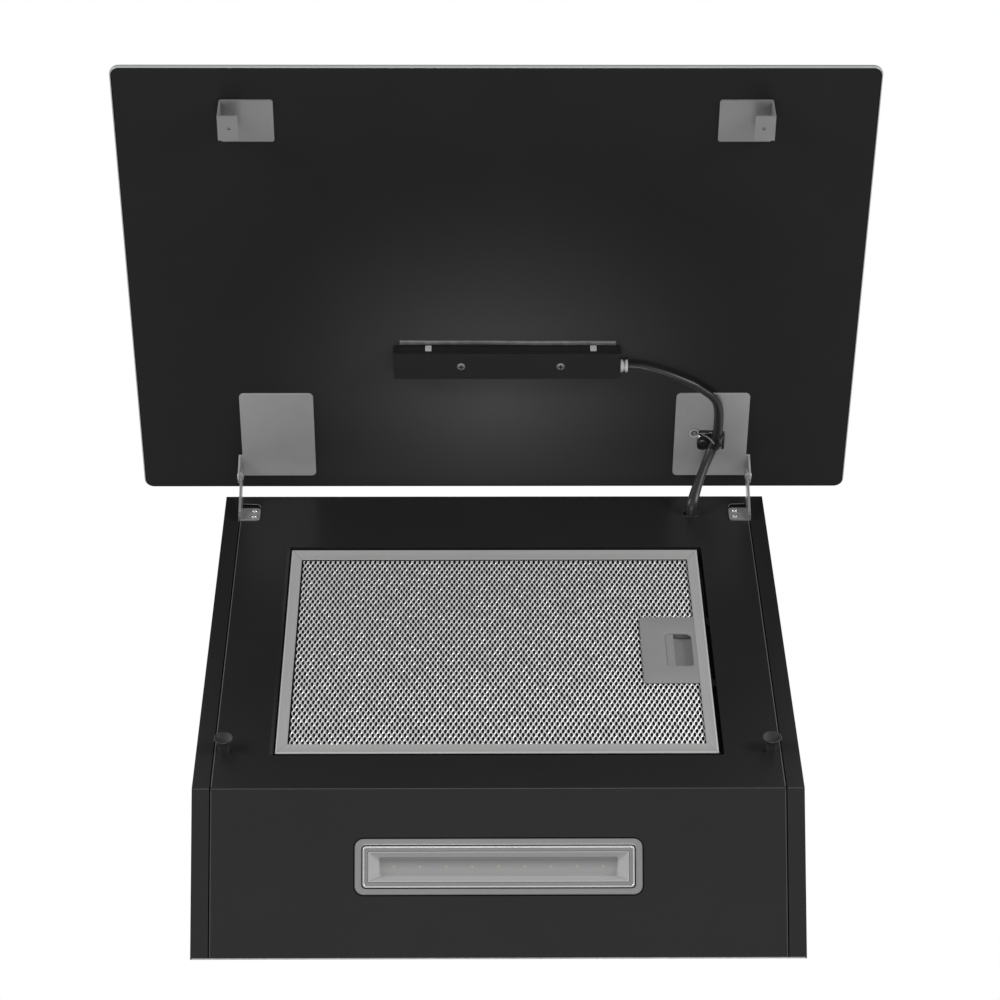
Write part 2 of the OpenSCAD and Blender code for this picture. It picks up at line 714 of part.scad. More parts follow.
// Arm from its foot on the filter face up to the pivot
module hinge_arm() filter_face() difference() {
    union() {
        round_plate([arm_x - foot_w, arm_x], [foot_s, foot_s + foot_l], [0, foot_t], 3.5);
        slab([arm_x - 6, arm_x], [foot_s, foot_s + foot_l], [0, foot_t]);
        rise = atan2(pivot_out - foot_t, pivot_s - foot_s - foot_l / 2);
        reach = norm([pivot_out - foot_t, pivot_s - foot_s - foot_l / 2]);
        translate([arm_x, foot_s + foot_l / 2, foot_t]) rotate([90, 0, -90])
            linear_extrude(arm_t) intersection() {
                union() {
                    rotate(180 - rise) translate([-2, -arm_band]) square([reach + 2, 2 * arm_band]);
                    translate([-foot_l / 2, -foot_t]) square([foot_l, arm_band]);
                }
                translate([-pivot_s, -foot_t]) square([2 * pivot_s, 2 * pivot_out]);
            }
        translate([arm_x - arm_t, pivot_s, pivot_out]) rod([0, arm_t], arm_end_r);
    }
    translate([0, pivot_s, pivot_out]) rod([arm_x - arm_t - cut, arm_x + cut], pin_r + run_gap);
    for (s = arm_screw_s) translate([arm_screw_x, s, -cut]) cylinder(h = 4, r = screw_r + 0.1);
}
module hinge_arm_left() color("#8a8a8a") on_side(-1) hinge_arm();
module hinge_arm_right() color("#8a8a8a") hinge_arm();

module arm_screws() color("#dedede") for (side = [-1, 1], s = arm_screw_s) on_side(side) filter_face()
    translate([arm_screw_x, s, foot_t]) {
        cylinder(h = button_h, r1 = button_r, r2 = button_top_r);
        translate([0, 0, -screw_l]) cylinder(h = screw_l, r = screw_r);
    }

module lead_grommet() color("#1c1c1c") filter_face() translate([lead_in_x, hole_s, 0]) difference() {
    union() {
        translate([0, 0, -2]) linear_extrude(2) lead_hole(hole_r - 0.1);
        linear_extrude(0.5) lead_hole(hole_r + 0.8);
        translate([0, 0, -sheet - 1.4]) linear_extrude(1.4) lead_hole(hole_r + 1);
    }
    translate([0, 0, -4]) linear_extrude(6) lead_hole(lead_d / 2 + 0.8);
}

// Scroll outline, from the tongue round to the outlet, grown by t
function scroll_path(t) = concat(
    [[mouth_mid + spigot_in + t, mouth], [tongue_r * cos(tongue_a) + t, tongue_r * sin(tongue_a) + 4]],
    [for (i = [0:scroll_steps]) let (u = i / scroll_steps, a = tongue_a - u * scroll_turn,
         r = tongue_r + u * scroll_growth + t) [r * cos(a), r * sin(a)]],
    [[mouth_mid - spigot_in - t, mouth]]);

// The scroll's path, back along its own outer skin
function backwards(v) = [for (i = [len(v) - 1:-1:0]) v[i]];

module scroll_wrap() color("#b9bbbd") blower_frame()
    translate([0, 0, -plate_x]) linear_extrude(2 * plate_x)
        polygon(concat(scroll_path(0), backwards(scroll_path(scroll_t))));

module scroll_plate() blower_frame() difference() {
    union() {
        translate([0, 0, plate_x]) linear_extrude(scroll_t) polygon(scroll_path(scroll_t));
        translate([0, 0, plate_x])
            slab([mouth_mid - flange_half, mouth_mid + flange_half], [mouth - scroll_t, mouth],
                 [0, flange_out]);
        translate([0, 0, plate_x - inlet_l]) cylinder(h = inlet_l + scroll_t, r = inlet_r, $fn = 96);
    }
    translate([0, 0, plate_x - inlet_l - cut])
        cylinder(h = inlet_l + scroll_t + 2 * cut, r = inlet_r - scroll_t, $fn = 96);
    for (sx = [-1, 1]) translate([mouth_mid + sx * flange_screw, mouth, plate_x + flange_out / 2])
        rotate([90, 0, 0]) cylinder(h = 4 * scroll_t, r = screw_r + screw_fit, center = true);
}
module scroll_plate_left() color("#b0b2b4") on_side(-1) scroll_plate();
module scroll_plate_right() color("#b0b2b4") scroll_plate();

// Places of the blower's fixing screws in the top panel
function blower_screw_at() =
    [for (sx = [-1, 1], sy = [-1, 1]) [sx * (plate_x + flange_out / 2), -outlet_y + sy * flange_screw]];

module blower_screws() color("silver") ceiling_frame() for (p = blower_screw_at())
    translate([p[0], p[1], 0]) {
        translate([0, 0, sheet]) cylinder(h = screw_head_h, r = screw_head_r);
        translate([0, 0, -screw_l]) cylinder(h = screw_l + sheet, r = screw_r);
    }

module motor() color("#9b9d9f") blower_frame() difference() {
    union() {
        translate([0, 0, motor_x0]) cylinder(h = motor_l, r = motor_r, $fn = 96);
        translate([0, 0, motor_x0 + motor_l]) cylinder(h = 3, r = motor_r / 2.5);
        for (a = [0:30:330]) rotate(a)
            translate([motor_r - 0.5, -1.5, motor_x0 + 10]) cube([2.5, 3, motor_l - 20]);
    }
    translate([0, 0, motor_x0 - cut]) cylinder(h = motor_l + 6, r = shaft_r + run_gap);
}

module motor_bracket() color("#7c7e80") blower_frame() translate([0, 0, motor_x0 - bracket_t]) difference() {
    union() {
        cylinder(h = bracket_t, r = motor_r, $fn = 96);
        for (a = [30:120:270]) rotate(a) {
            translate([0, -7, 0]) cube([bush_pcd_r, 14, bracket_t]);
            translate([bush_pcd_r, 0, 0]) cylinder(h = bracket_t, r = 7);
        }
    }
    translate([0, 0, -cut]) cylinder(h = bracket_t + 2 * cut, r = shaft_r + 2);
}

module motor_bushes() color("#1a1a1a") blower_frame() for (a = [30:120:270]) rotate(a)
    translate([bush_pcd_r, 0, motor_x0]) cylinder(h = bush_t, r = bush_r);

module impeller() color("#d0d2d4") blower_frame() difference() {
    union() {
        for (z = [-impeller_w / 2, impeller_w / 2 - end_ring_t])
            translate([0, 0, z]) difference() {
            cylinder(h = end_ring_t, r = impeller_r, $fn = 96);
            translate([0, 0, -cut]) cylinder(h = end_ring_t + 2 * cut, r = blade_in, $fn = 96);
        }
        translate([0, 0, -disc_t / 2]) cylinder(h = disc_t, r = impeller_r, $fn = 96);
        translate([0, 0, -hub_back]) cylinder(h = hub_back + hub_front, r = hub_r);
        for (i = [0:blade_count - 1]) rotate(i * 360 / blade_count)
            translate([0, 0, -impeller_w / 2]) linear_extrude(impeller_w) blade();
    }
    translate([0, 0, -impeller_w / 2]) cylinder(h = impeller_w, r = shaft_r);
}

// Forward-curved blade between the end rings
module blade() polygon([for (p = [[0, 0], [4, 2.2], [8, 5.4], [11.5, 9.6],
                                  [11.5, 10.9], [7.4, 6.3], [3.6, 3.2], [0, 1]])
                        [blade_in + 0.2 + p[0], p[1]]]);

module rotor_shaft() color("silver") blower_frame()
    translate([0, 0, motor_x0 - hub_back]) cylinder(h = hub_front - motor_x0 + hub_back, r = shaft_r);

module outlet_spigot() color("#1f1f1f") ceiling_frame() translate([0, -outlet_y, 0]) difference() {
    union() {
        translate([0, 0, sheet]) cylinder(h = spigot_base, r = spigot_r + spigot_flange, $fn = 96);
        translate([0, 0, sheet]) cylinder(h = spigot_h + spigot_base, r = spigot_r, $fn = 96);
    }
    translate([0, 0, -cut])
        cylinder(h = 2 * cut + sheet + rod_h - knuckle_r, r = spigot_in - ledge_w, $fn = 96);
    translate([0, 0, sheet + rod_h - knuckle_r - slip]) cylinder(h = spigot_h, r = spigot_in, $fn = 96);
    for (sy = [-1, 1]) translate([0, sy * rod_dy, sheet + rod_h]) rod([-spigot_r - 2, spigot_r + 2], rod_r);
}

module flap_rods() color("silver") for (sy = [-1, 1])
    translate([0, -outlet_y + sy * rod_dy, lamp_z + rod_z]) rod([-spigot_r + 0.5, spigot_r - 0.5], rod_r);

// Half-round flap hinged on its rod
module flap() difference() {
    union() {
        intersection() {
            translate([0, -rod_dy, -knuckle_r]) cylinder(h = flap_t, r = flap_r, $fn = 96);
            slab([-flap_r, flap_r], [knuckle_r - 1, flap_r], [-knuckle_r, -knuckle_r + flap_t]);
        }
        rod([-flap_r + 6, flap_r - 6], knuckle_r);
        slab([-flap_r + 6, flap_r - 6], [0, knuckle_r], [-knuckle_r, -knuckle_r + flap_t]);
    }
    rod([-flap_r, flap_r], rod_r + run_gap);
}
module flap_rear() color("#2c2c2c")
    translate([0, -outlet_y + rod_dy, lamp_z + rod_z]) flap();
module flap_front() color("#2c2c2c")
    translate([0, -outlet_y - rod_dy, lamp_z + rod_z]) rotate(180) flap();

module capacitor() color("#e4e4e0") translate([cap_x, cap_y, lamp_z + cap_z]) rod([0, cap_l], cap_r);

module capacitor_clip() color("silver") translate([cap_x, cap_y, lamp_z + cap_z]) difference() {
    union() {
        rod([cap_l / 2 - 6, cap_l / 2 + 6], cap_r + 1.3);
        slab([cap_l / 2 - 6, cap_l / 2 + 6], [-cap_r / 2, cap_r / 2], [cap_r, ceiling - cap_z]);
    }
    rod([0, cap_l], cap_r + 0.1);
}

module control_case() color("#202020") difference() {
    slab([case_x0, case_x0 + case_w], [case_y0, case_y0 + case_l],
         [lamp_z + ceiling - case_d, lamp_z + ceiling]);
    slab([case_x0 + case_wall, case_x0 + case_w - case_wall],
         [case_y0 + case_wall, case_y0 + case_l - case_wall],
         [lamp_z + ceiling - case_d - cut, lamp_z + ceiling - case_wall]);
    translate([lead_in_x, case_y0, lead_in_z + lamp_z]) rotate([90, 0, 0])
        cylinder(h = 10, r = lead_d / 2 + 0.2, center = true);
}

module control_case_lid() color("#262626") translate([0, 0, lamp_z + ceiling - case_d]) {
    slab([case_x0, case_x0 + case_w], [case_y0, case_y0 + case_l], [-2, 0]);
    difference() {
        slab([case_x0 + case_wall + 0.2, case_x0 + case_w - case_wall - 0.2],
             [case_y0 + case_wall + 0.2, case_y0 + case_l - case_wall - 0.2], [0, lid_rim]);
        slab([case_x0 + case_wall + 2, case_x0 + case_w - case_wall - 2],
             [case_y0 + case_wall + 2, case_y0 + case_l - case_wall - 2], [0, lid_rim + cut]);
    }
}

module control_board() color("#2f6b3a") translate([case_x0, case_y0, lamp_z + ceiling - case_d + lid_rim]) {
    slab([2 * case_wall, case_w - 2 * case_wall], [3 * case_wall, case_l - 2 * case_wall], [0, card_t]);
    translate([case_w * 0.15, case_l / 2, card_t]) cube(transformer);
    translate([case_w * 0.6, case_l / 2, card_t]) cube(relay);
}

module mains_gland() color("#1b1b1b") ceiling_frame() translate([mains_x, mains_y, 0]) difference() {
    union() {
        translate([0, 0, sheet]) cylinder(h = 5, r = mains_r + 1.5, $fn = 6);
        translate([0, 0, sheet + 5]) cylinder(h = 7, r1 = mains_r, r2 = mains_r - 2.5);
        translate([0, 0, -8]) cylinder(h = 8 + sheet, r = mains_r - 2);
        translate([0, 0, -5]) cylinder(h = 5, r = mains_r + 1.5, $fn = 6);
    }
    translate([0, 0, -10]) cylinder(h = 40, r = mains_bore);
}

module glass() color("#1d1d1d", 0.95) glass_frame()
    round_plate([-glass_w / 2, glass_w / 2], [-edge_over, glass_l - edge_over],
                [inner - glass_t, inner], glass_r);

// Plate glued to the glass, with a lug bent up to the pivot
module hinge_plate() glass_frame() difference() {
    union() {
        round_plate([plate_x1 - hinge_plate_w, plate_x1], [plate_t0, plate_t0 + hinge_plate_l],
                    [inner, inner + plate_t], 4);
        slab([plate_x1 - 8, lug_x1], [plate_t0, -plate_t0], [inner, inner + plate_t]);
        translate([lug_x0, 0, 0]) rotate([90, 0, 90]) linear_extrude(plate_t)
            polygon([[plate_t0, inner], [-plate_t0, inner], [5.4, 2.6], [-5.4, 2.6]]);
        rod([lug_x0, lug_x1], 6);
    }
    rod([lug_x0 - cut, lug_x1 + cut], pin_r + run_gap);
}
module hinge_plate_left() color("#7c7c7c") on_side(-1) hinge_plate();
module hinge_plate_right() color("#7c7c7c") on_side(1) hinge_plate();

module hinge_pins() color("#c8c8c8") for (side = [-1, 1]) on_side(side) glass_frame() {
    rod([arm_x - arm_t - pin_head_t, lug_x1 + pin_head_t], pin_r);
    rod([lug_x1, lug_x1 + pin_head_t], pin_head_r);
    rod([arm_x - arm_t - pin_head_t, arm_x - arm_t], pin_head_r);
}

module hinge_washers() color("#303030") for (side = [-1, 1]) on_side(side) glass_frame() difference() {
    rod([arm_x, lug_x0], 5.8);
    rod([arm_x - cut, lug_x0 + cut], pin_r + run_gap);
}

// Plate glued to the glass with a wall and a flange that lands on the cup
module catch_bracket() glass_frame() {
    top = inner + flange_h;
    difference() {
        union() {
            round_plate([bracket_x1 - bracket_w, bracket_x1],
                        [cup_t - bracket_l / 2 - 7, cup_t + bracket_l / 2 - 7],
                        [inner, inner + plate_t], 2);
            translate([bracket_x1 - plate_t, cup_t, 0]) rotate([90, 0, 90]) linear_extrude(plate_t)
                polygon([[-bracket_l / 2 - 5, inner], [bracket_l / 2 - 9, inner],
                         [flange_len / 2, top], [-flange_len / 2, top]]);
            slab([bracket_x1 - flange_in, bracket_x1], [cup_t - flange_len / 2, cup_t + flange_len / 2],
                 [top - plate_t, top]);
        }
        translate([cup_x, cup_t, top - plate_t - cut]) cylinder(h = plate_t + 2 * cut, r = 1.5);
    }
}
module catch_bracket_left() color("#7c7c7c") on_side(-1) catch_bracket();
module catch_bracket_right() color("#7c7c7c") on_side(1) catch_bracket();

module ctrl_screw_at() for (s = [-1, 1])
    translate([ctrl_screw_x + s * ctrl_screw_dx / 2, ctrl_t, inner]) children();

module control_box_base() color("#202020") glass_frame() difference() {
    union() {
        slab([ctrl_x0 + ctrl_wall + 0.2, ctrl_x1 - ctrl_wall - 0.2],
             [ctrl_t - ctrl_l / 2 + ctrl_wall + 0.2, ctrl_t1 - ctrl_wall - 0.2], [inner, inner + 1.2]);
        ctrl_screw_at() cylinder(h = ctrl_h - ctrl_wall, r = 3.5);
    }
    ctrl_screw_at() translate([0, 0, 2]) cylinder(h = ctrl_h, r = 1.6);
}

module touch_board() color("#2f6b3a") glass_frame() difference() {
    slab([ctrl_x0 + 6, ctrl_x1 - 10], [ctrl_t - ctrl_l / 2 + 3, ctrl_t1 - 3], [inner + 1.2, inner + 2.8]);
    ctrl_screw_at() cylinder(h = ctrl_h, r = 3.7);
}

module control_box_cover() color("#1b1b1b") glass_frame() difference() {
    round_plate([ctrl_x0, ctrl_x1], [ctrl_t - ctrl_l / 2, ctrl_t1], [inner, inner + ctrl_h], 0.8);
    slab([ctrl_x0 + ctrl_wall, ctrl_x1 - ctrl_wall], [ctrl_t - ctrl_l / 2 + ctrl_wall, ctrl_t1 - ctrl_wall],
         [inner - cut, inner + ctrl_h - ctrl_wall]);
    ctrl_screw_at() {
        cylinder(h = 2 * ctrl_h, r = 1.7);
        translate([0, 0, ctrl_h - 1.2]) cylinder(h = 1.3, r1 = 2.3, r2 = 3.7);
    }
    translate([0, gland_t, inner + gland_h]) rod([ctrl_x1 - 5, ctrl_x1 + 5], gland_neck + 0.05);
}

module control_box_screws() color("#9a9a9a") glass_frame() ctrl_screw_at() {
    translate([0, 0, ctrl_h - 1.15]) difference() {
        cylinder(h = 1.2, r1 = 2.2, r2 = 3.5);
        for (a = [0, 90]) rotate(a) translate([-1.6, -0.35, 0.5]) cube([3.2, 0.7, 2]);
    }
    translate([0, 0, ctrl_h - 8]) cylinder(h = 7, r = 1.5);
}

// Retaining strip with two hooks along the box's long side
module control_strip() color("#8e8e8e") glass_frame() {
    slab([ctrl_x0 + 5, ctrl_x1 - 4], [ctrl_t1 + 0.1, ctrl_t1 + strip_l], [inner, inner + 1.2]);
    for (s = [-1, 1]) translate([ctrl_x + 3 + s * hook_dx / 2, 0, 0])
        slab([-hook_w / 2, hook_w / 2], [ctrl_t1 + 0.1, ctrl_t1 + 0.9], [inner, inner + 7.6]);
}

module control_gland() color("#a9a9a9") glass_frame()
    translate([ctrl_x1, gland_t, inner + gland_h]) difference() {
        union() {
            rod([0, 2.2], gland_r);
            rod([3.9, 6.1], gland_r);
            rod([-3, 6.1], gland_neck);
        }
        rod([-5, 10], lead_d / 2 + 0.1);
    }

// Clamp round the lead with a ring tab, on the right hinge plate
module lead_clip() color("#191919") glass_frame() {
    floor_h = inner + plate_t;
    difference() {
        union() {
            translate([clip_x, clip_t, inner + clip_h]) rotate([0, 0, -11.3]) rotate([90, 0, 0])
                cylinder(h = clip_len, r = clip_r, center = true);
            slab([clip_x - 12, clip_x + 8], [clip_t - 9, clip_t + 9], [floor_h, floor_h + 2]);
            slab([clip_x - 14, clip_x], [clip_t + 2, clip_t + 8], [floor_h, floor_h + 4.2]);
            translate([clip_x - 17, clip_t + 7.5, floor_h]) cylinder(h = 2.4, r = 4.4);
        }
        translate([clip_x, clip_t, inner + clip_h]) rotate([0, 0, -11.3]) rotate([90, 0, 0])
            cylinder(h = 4 * clip_len, r = lead_d / 2 + 0.25, center = true);
        translate([0, 0, floor_h - 8]) slab([0, 2 * clip_x], [0, 2 * clip_t], [0, 8]);
        translate([clip_x - 17, clip_t + 7.5, floor_h - cut]) cylinder(h = 6, r = 2.2);
    }
}

// Points along the lead, from the control box to the control board's case
lead_route = concat([for (p = lead_on_glass) on_glass(p)], [for (p = lead_in_body) on_face(p)],
                    [for (p = lead_tail) [p[0], p[1], p[2] + lamp_z]]);
function lead_dir(i) =
    let (n = len(lead_route), d = lead_route[min(i + 1, n - 1)] - lead_route[max(i - 1, 0)])
    d / norm(d);
function lead_ring(i) =
    let (d = lead_dir(i), side = cross(d, abs(d[0]) < 0.8 ? [1, 0, 0] : [0, 0, 1]),
         u = side / norm(side), v = cross(d, u))
    [for (k = [0:lead_sides - 1]) let (a = k * 360 / lead_sides)
        lead_route[i] + (cos(a) * u + sin(a) * v) * lead_d / 2];

module control_lead() color("#151515") {
    n = len(lead_route);
    m = lead_sides;
    polyhedron(
        points = [for (i = [0:n - 1]) each lead_ring(i)],
        faces = concat([[for (k = [0:m - 1]) k]],
                       [for (i = [0:n - 2], k = [0:m - 1])
                           [i * m + k, (i + 1) * m + k, (i + 1) * m + (k + 1) % m, i * m + (k + 1) % m]],
                       [[for (k = [m - 1:-1:0]) (n - 1) * m + k]]));
}

side_panel_drilled(-1);  // side_panel_left
side_panel_drilled(1);  // side_panel_right
front_sheet();
back_panel();
top_panel();
panel_screws();
filter_seat();
filter_frame();
filter_mesh();
filter_core();
filter_handle();
latch_slider();
latch_spring();
lamp_housing();
lamp_bezel();
lamp_lens();
led_board();
light_diodes();
catch_cup_left();
catch_cup_right();
catch_magnets();
catch_studs();
hinge_arm_left();
hinge_arm_right();
arm_screws();
lead_grommet();
scroll_wrap();
scroll_plate_left();
scroll_plate_right();
blower_screws();
motor();
motor_bracket();
motor_bushes();
impeller();
rotor_shaft();
outlet_spigot();
flap_rods();
flap_front();
flap_rear();
capacitor();
capacitor_clip();
control_case();
control_case_lid();
control_board();
mains_gland();
glass();
hinge_plate_left();
hinge_plate_right();
hinge_pins();
hinge_washers();
catch_bracket_left();
catch_bracket_right();
touch_board();
control_box_base();
control_box_cover();
control_box_screws();
control_strip();
control_gland();
lead_clip();
control_lead();
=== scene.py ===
"""Visual model of an inclined range hood with its glass front open.

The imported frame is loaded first. Each class below builds one sub-assembly in
millimetres, in the axes of the face that carries it, and dresses it.
"""
import json
import logging
import math
from dataclasses import dataclass
from enum import Enum

import bmesh
import bpy
import numpy as np
from mathutils import Matrix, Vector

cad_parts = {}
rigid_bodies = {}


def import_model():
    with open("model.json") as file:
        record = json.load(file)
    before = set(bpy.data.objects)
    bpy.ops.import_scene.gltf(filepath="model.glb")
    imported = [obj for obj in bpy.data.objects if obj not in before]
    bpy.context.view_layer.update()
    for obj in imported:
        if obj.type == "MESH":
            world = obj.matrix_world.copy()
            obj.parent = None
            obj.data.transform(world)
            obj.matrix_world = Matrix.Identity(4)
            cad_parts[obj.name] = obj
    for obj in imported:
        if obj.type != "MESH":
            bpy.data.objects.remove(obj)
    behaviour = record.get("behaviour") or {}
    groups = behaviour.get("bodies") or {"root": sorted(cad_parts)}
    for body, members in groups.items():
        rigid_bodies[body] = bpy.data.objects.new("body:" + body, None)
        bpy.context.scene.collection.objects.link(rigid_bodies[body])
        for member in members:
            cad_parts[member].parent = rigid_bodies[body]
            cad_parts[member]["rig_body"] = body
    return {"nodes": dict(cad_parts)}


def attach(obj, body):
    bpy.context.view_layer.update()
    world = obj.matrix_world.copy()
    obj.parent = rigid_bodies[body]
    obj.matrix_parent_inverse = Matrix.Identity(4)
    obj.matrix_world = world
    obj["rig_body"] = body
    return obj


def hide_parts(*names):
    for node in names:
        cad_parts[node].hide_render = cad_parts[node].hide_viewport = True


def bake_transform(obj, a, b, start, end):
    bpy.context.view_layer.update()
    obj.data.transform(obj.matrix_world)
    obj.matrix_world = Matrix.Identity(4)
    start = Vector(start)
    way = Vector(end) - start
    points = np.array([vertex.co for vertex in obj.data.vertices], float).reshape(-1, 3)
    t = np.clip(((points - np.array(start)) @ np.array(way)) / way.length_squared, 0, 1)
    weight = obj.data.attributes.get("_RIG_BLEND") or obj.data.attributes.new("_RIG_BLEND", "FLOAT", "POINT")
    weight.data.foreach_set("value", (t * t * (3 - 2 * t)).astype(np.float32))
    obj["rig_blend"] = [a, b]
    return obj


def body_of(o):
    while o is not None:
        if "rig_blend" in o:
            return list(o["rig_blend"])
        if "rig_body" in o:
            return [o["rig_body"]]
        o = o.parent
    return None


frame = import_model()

Pair = tuple[float, float]
Triple = tuple[float, float, float]
Socket = bpy.types.NodeSocket

LOG = logging.getLogger("hood")
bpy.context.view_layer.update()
SLOTS = {name: node.material_slots[0].name.split(".")[0] for name, node in frame["nodes"].items()}
MM = 0.001

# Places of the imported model, in millimetres
SLOPE = math.radians(50.5)  # filter face from the horizontal
GLASS_TURN = math.radians(-133.5)  # open glass about X
LAMP_Z = -200.0  # level of the lamp face
LAMP_DEPTH = 126.0  # from the wall to the fold
PIVOT = (-397.0, 98.879)  # hinge pins in Y and Z
GLASS_INNER = -15.5  # inner face of the glass above the pivot

ACROSS = np.array([1.0, 0.0, 0.0])
OUTWARDS = np.array([0.0, 0.0, 1.0])

CREASE_DEG = 32.0  # edges that turn more than this stay sharp
BEVEL_DEG = 28.0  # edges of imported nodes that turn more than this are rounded
FLAT_DEG = 0.6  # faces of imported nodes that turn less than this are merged
WELD = 2e-6  # corners closer than this are joined, in metres


class Body(Enum):
    """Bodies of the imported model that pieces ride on."""

    HOOD = "hood"
    GLASS = "glass_panel"
    LATCH = "filter_latch"


class Side(Enum):
    """Left or right half of the hood, as the sign of X."""

    LEFT = -1
    RIGHT = 1

    @property
    def word(self) -> str:
        """The side's word in the names of nodes and pieces."""
        return self.name.lower()


class Grain(Enum):
    """Direction in which a metal is brushed, as the stretch of its noise along X, Y and Z."""

    NONE = (1.0, 1.0, 1.0)
    ACROSS = (0.03, 1.0, 1.0)


@dataclass(frozen=True)
class Place:
    """A working face with axes across (X), along and outwards, in millimetres."""

    origin: Triple
    along: Triple
    out: Triple

    def world(self, local: np.ndarray) -> np.ndarray:
        """Turns local points into metres: origin + x * across + y * along + h * outwards.

        Args:
            local: Array of shape (..., 3) in millimetres.

        Returns:
            Array of the same shape, in metres of the shared frame.
        """
        axes = np.array([ACROSS, self.along, self.out])
        return (np.asarray(self.origin) + np.asarray(local, float) @ axes) * MM


HERE = Place((0, 0, 0), (0, 1, 0), (0, 0, 1))
LAMP_FACE = Place((0, 0, LAMP_Z), (0, -1, 0), (0, 0, -1))
FILTER_FACE = Place(
    (0, -LAMP_DEPTH, LAMP_Z),
    (0, -math.cos(SLOPE), math.sin(SLOPE)),
    (0, -math.sin(SLOPE), -math.cos(SLOPE)),
)
GLASS_FACE = Place(
    (0, PIVOT[0], PIVOT[1]),
    (0, math.cos(GLASS_TURN), math.sin(GLASS_TURN)),
    (0, -math.sin(GLASS_TURN), math.cos(GLASS_TURN)),
)


# ---------------------------------------------------------------- finishes


def add_node(tree: bpy.types.NodeTree, kind: str, inputs: dict | None = None,
             **settings: object) -> bpy.types.Node:
    """Adds a node to a tree.

    Args:
        tree: The node tree.
        kind: Type of the node.
        inputs: Values or output sockets by input name or number.
        settings: Properties of the node.

    Returns:
        The new node.
    """
    made = tree.nodes.new(kind)
    for key, value in settings.items():
        setattr(made, key, value)
    for key, value in (inputs or {}).items():
        feed(tree, made.inputs[key], value)
    return made


def feed(tree: bpy.types.NodeTree, socket: Socket, value: object) -> None:
    """Links an input to an output socket, or gives it a plain value.

    Args:
        tree: The node tree.
        socket: The input.
        value: Output socket or value.
    """
    if isinstance(value, Socket):
        tree.links.new(value, socket)
    else:
        socket.default_value = value


class Shader:
    """A node material under construction, with short calls for its usual nodes."""

    def __init__(self, name: str) -> None:
        """Starts a material with its surface shader.

        Args:
            name: Name of the material.
        """
        self.material = bpy.data.materials.new(name)
        self.material.use_nodes = True
        self.tree = self.material.node_tree
        self.surface = self.tree.nodes["Principled BSDF"]

    def node(self, kind: str, output: int | str, inputs: dict | None = None,
             **settings: object) -> Socket:
        """Adds a node to the material and gives one of its outputs."""
        return add_node(self.tree, kind, inputs, **settings).outputs[output]

    def coords(self, stretch: Triple = (1, 1, 1)) -> Socket:
        """Object coordinates in metres, stretched by three factors."""
        source = self.node("ShaderNodeTexCoord", "Object")
        return self.node("ShaderNodeMapping", "Vector", {"Vector": source, "Scale": stretch})

    def noise(self, where: Socket, size_mm: float, detail: float) -> Socket:
        """Noise whose grains are about size_mm across."""
        sizes = {"Vector": where, "Scale": 1 / (size_mm * MM), "Detail": detail}
        return self.node("ShaderNodeTexNoise", "Fac", sizes)

    def calc(self, operation: str, a: object, b: object = 0.0) -> Socket:
        """One step of arithmetic on numbers or sockets."""
        return self.node("ShaderNodeMath", 0, {0: a, 1: b}, operation=operation)

    def ramp(self, factor: Socket, low: float, high: float, out_low: float = 0.0,
             out_high: float = 1.0) -> Socket:
        """Linear change of a number from one range to another, clamped."""
        limits = {"From Min": low, "From Max": high, "To Min": out_low, "To Max": out_high}
        return self.node("ShaderNodeMapRange", "Result", {"Value": factor, **limits})

    def mix(self, factor: object, a: object, b: object) -> Socket:
        """Mixes two colours by a factor; the colours are the node's inputs 6 and 7."""
        return self.node("ShaderNodeMix", 2, {0: factor, 6: a, 7: b}, data_type="RGBA")

    def set(self, **values: object) -> None:
        """Sets or links inputs of the surface shader; underscores stand for blanks."""
        for key, value in values.items():
            feed(self.tree, self.surface.inputs[key.replace("_", " ")], value)

    def relief(self, height: Socket, strength: float, depth_mm: float) -> None:
        """Adds a bump of a given depth to the surface."""
        sizes = {"Height": height, "Strength": strength, "Distance": depth_mm * MM}
        self.set(Normal=self.node("ShaderNodeBump", "Normal", sizes))


def rgba(colour: Triple, scale: float = 1.0) -> tuple[float, ...]:
    """A linear colour times a factor, with full alpha."""
    return (*(min(1.0, c * scale) for c in colour), 1.0)


def grey(level: float) -> Triple:
    """A linear grey."""
    return (level, level, level)


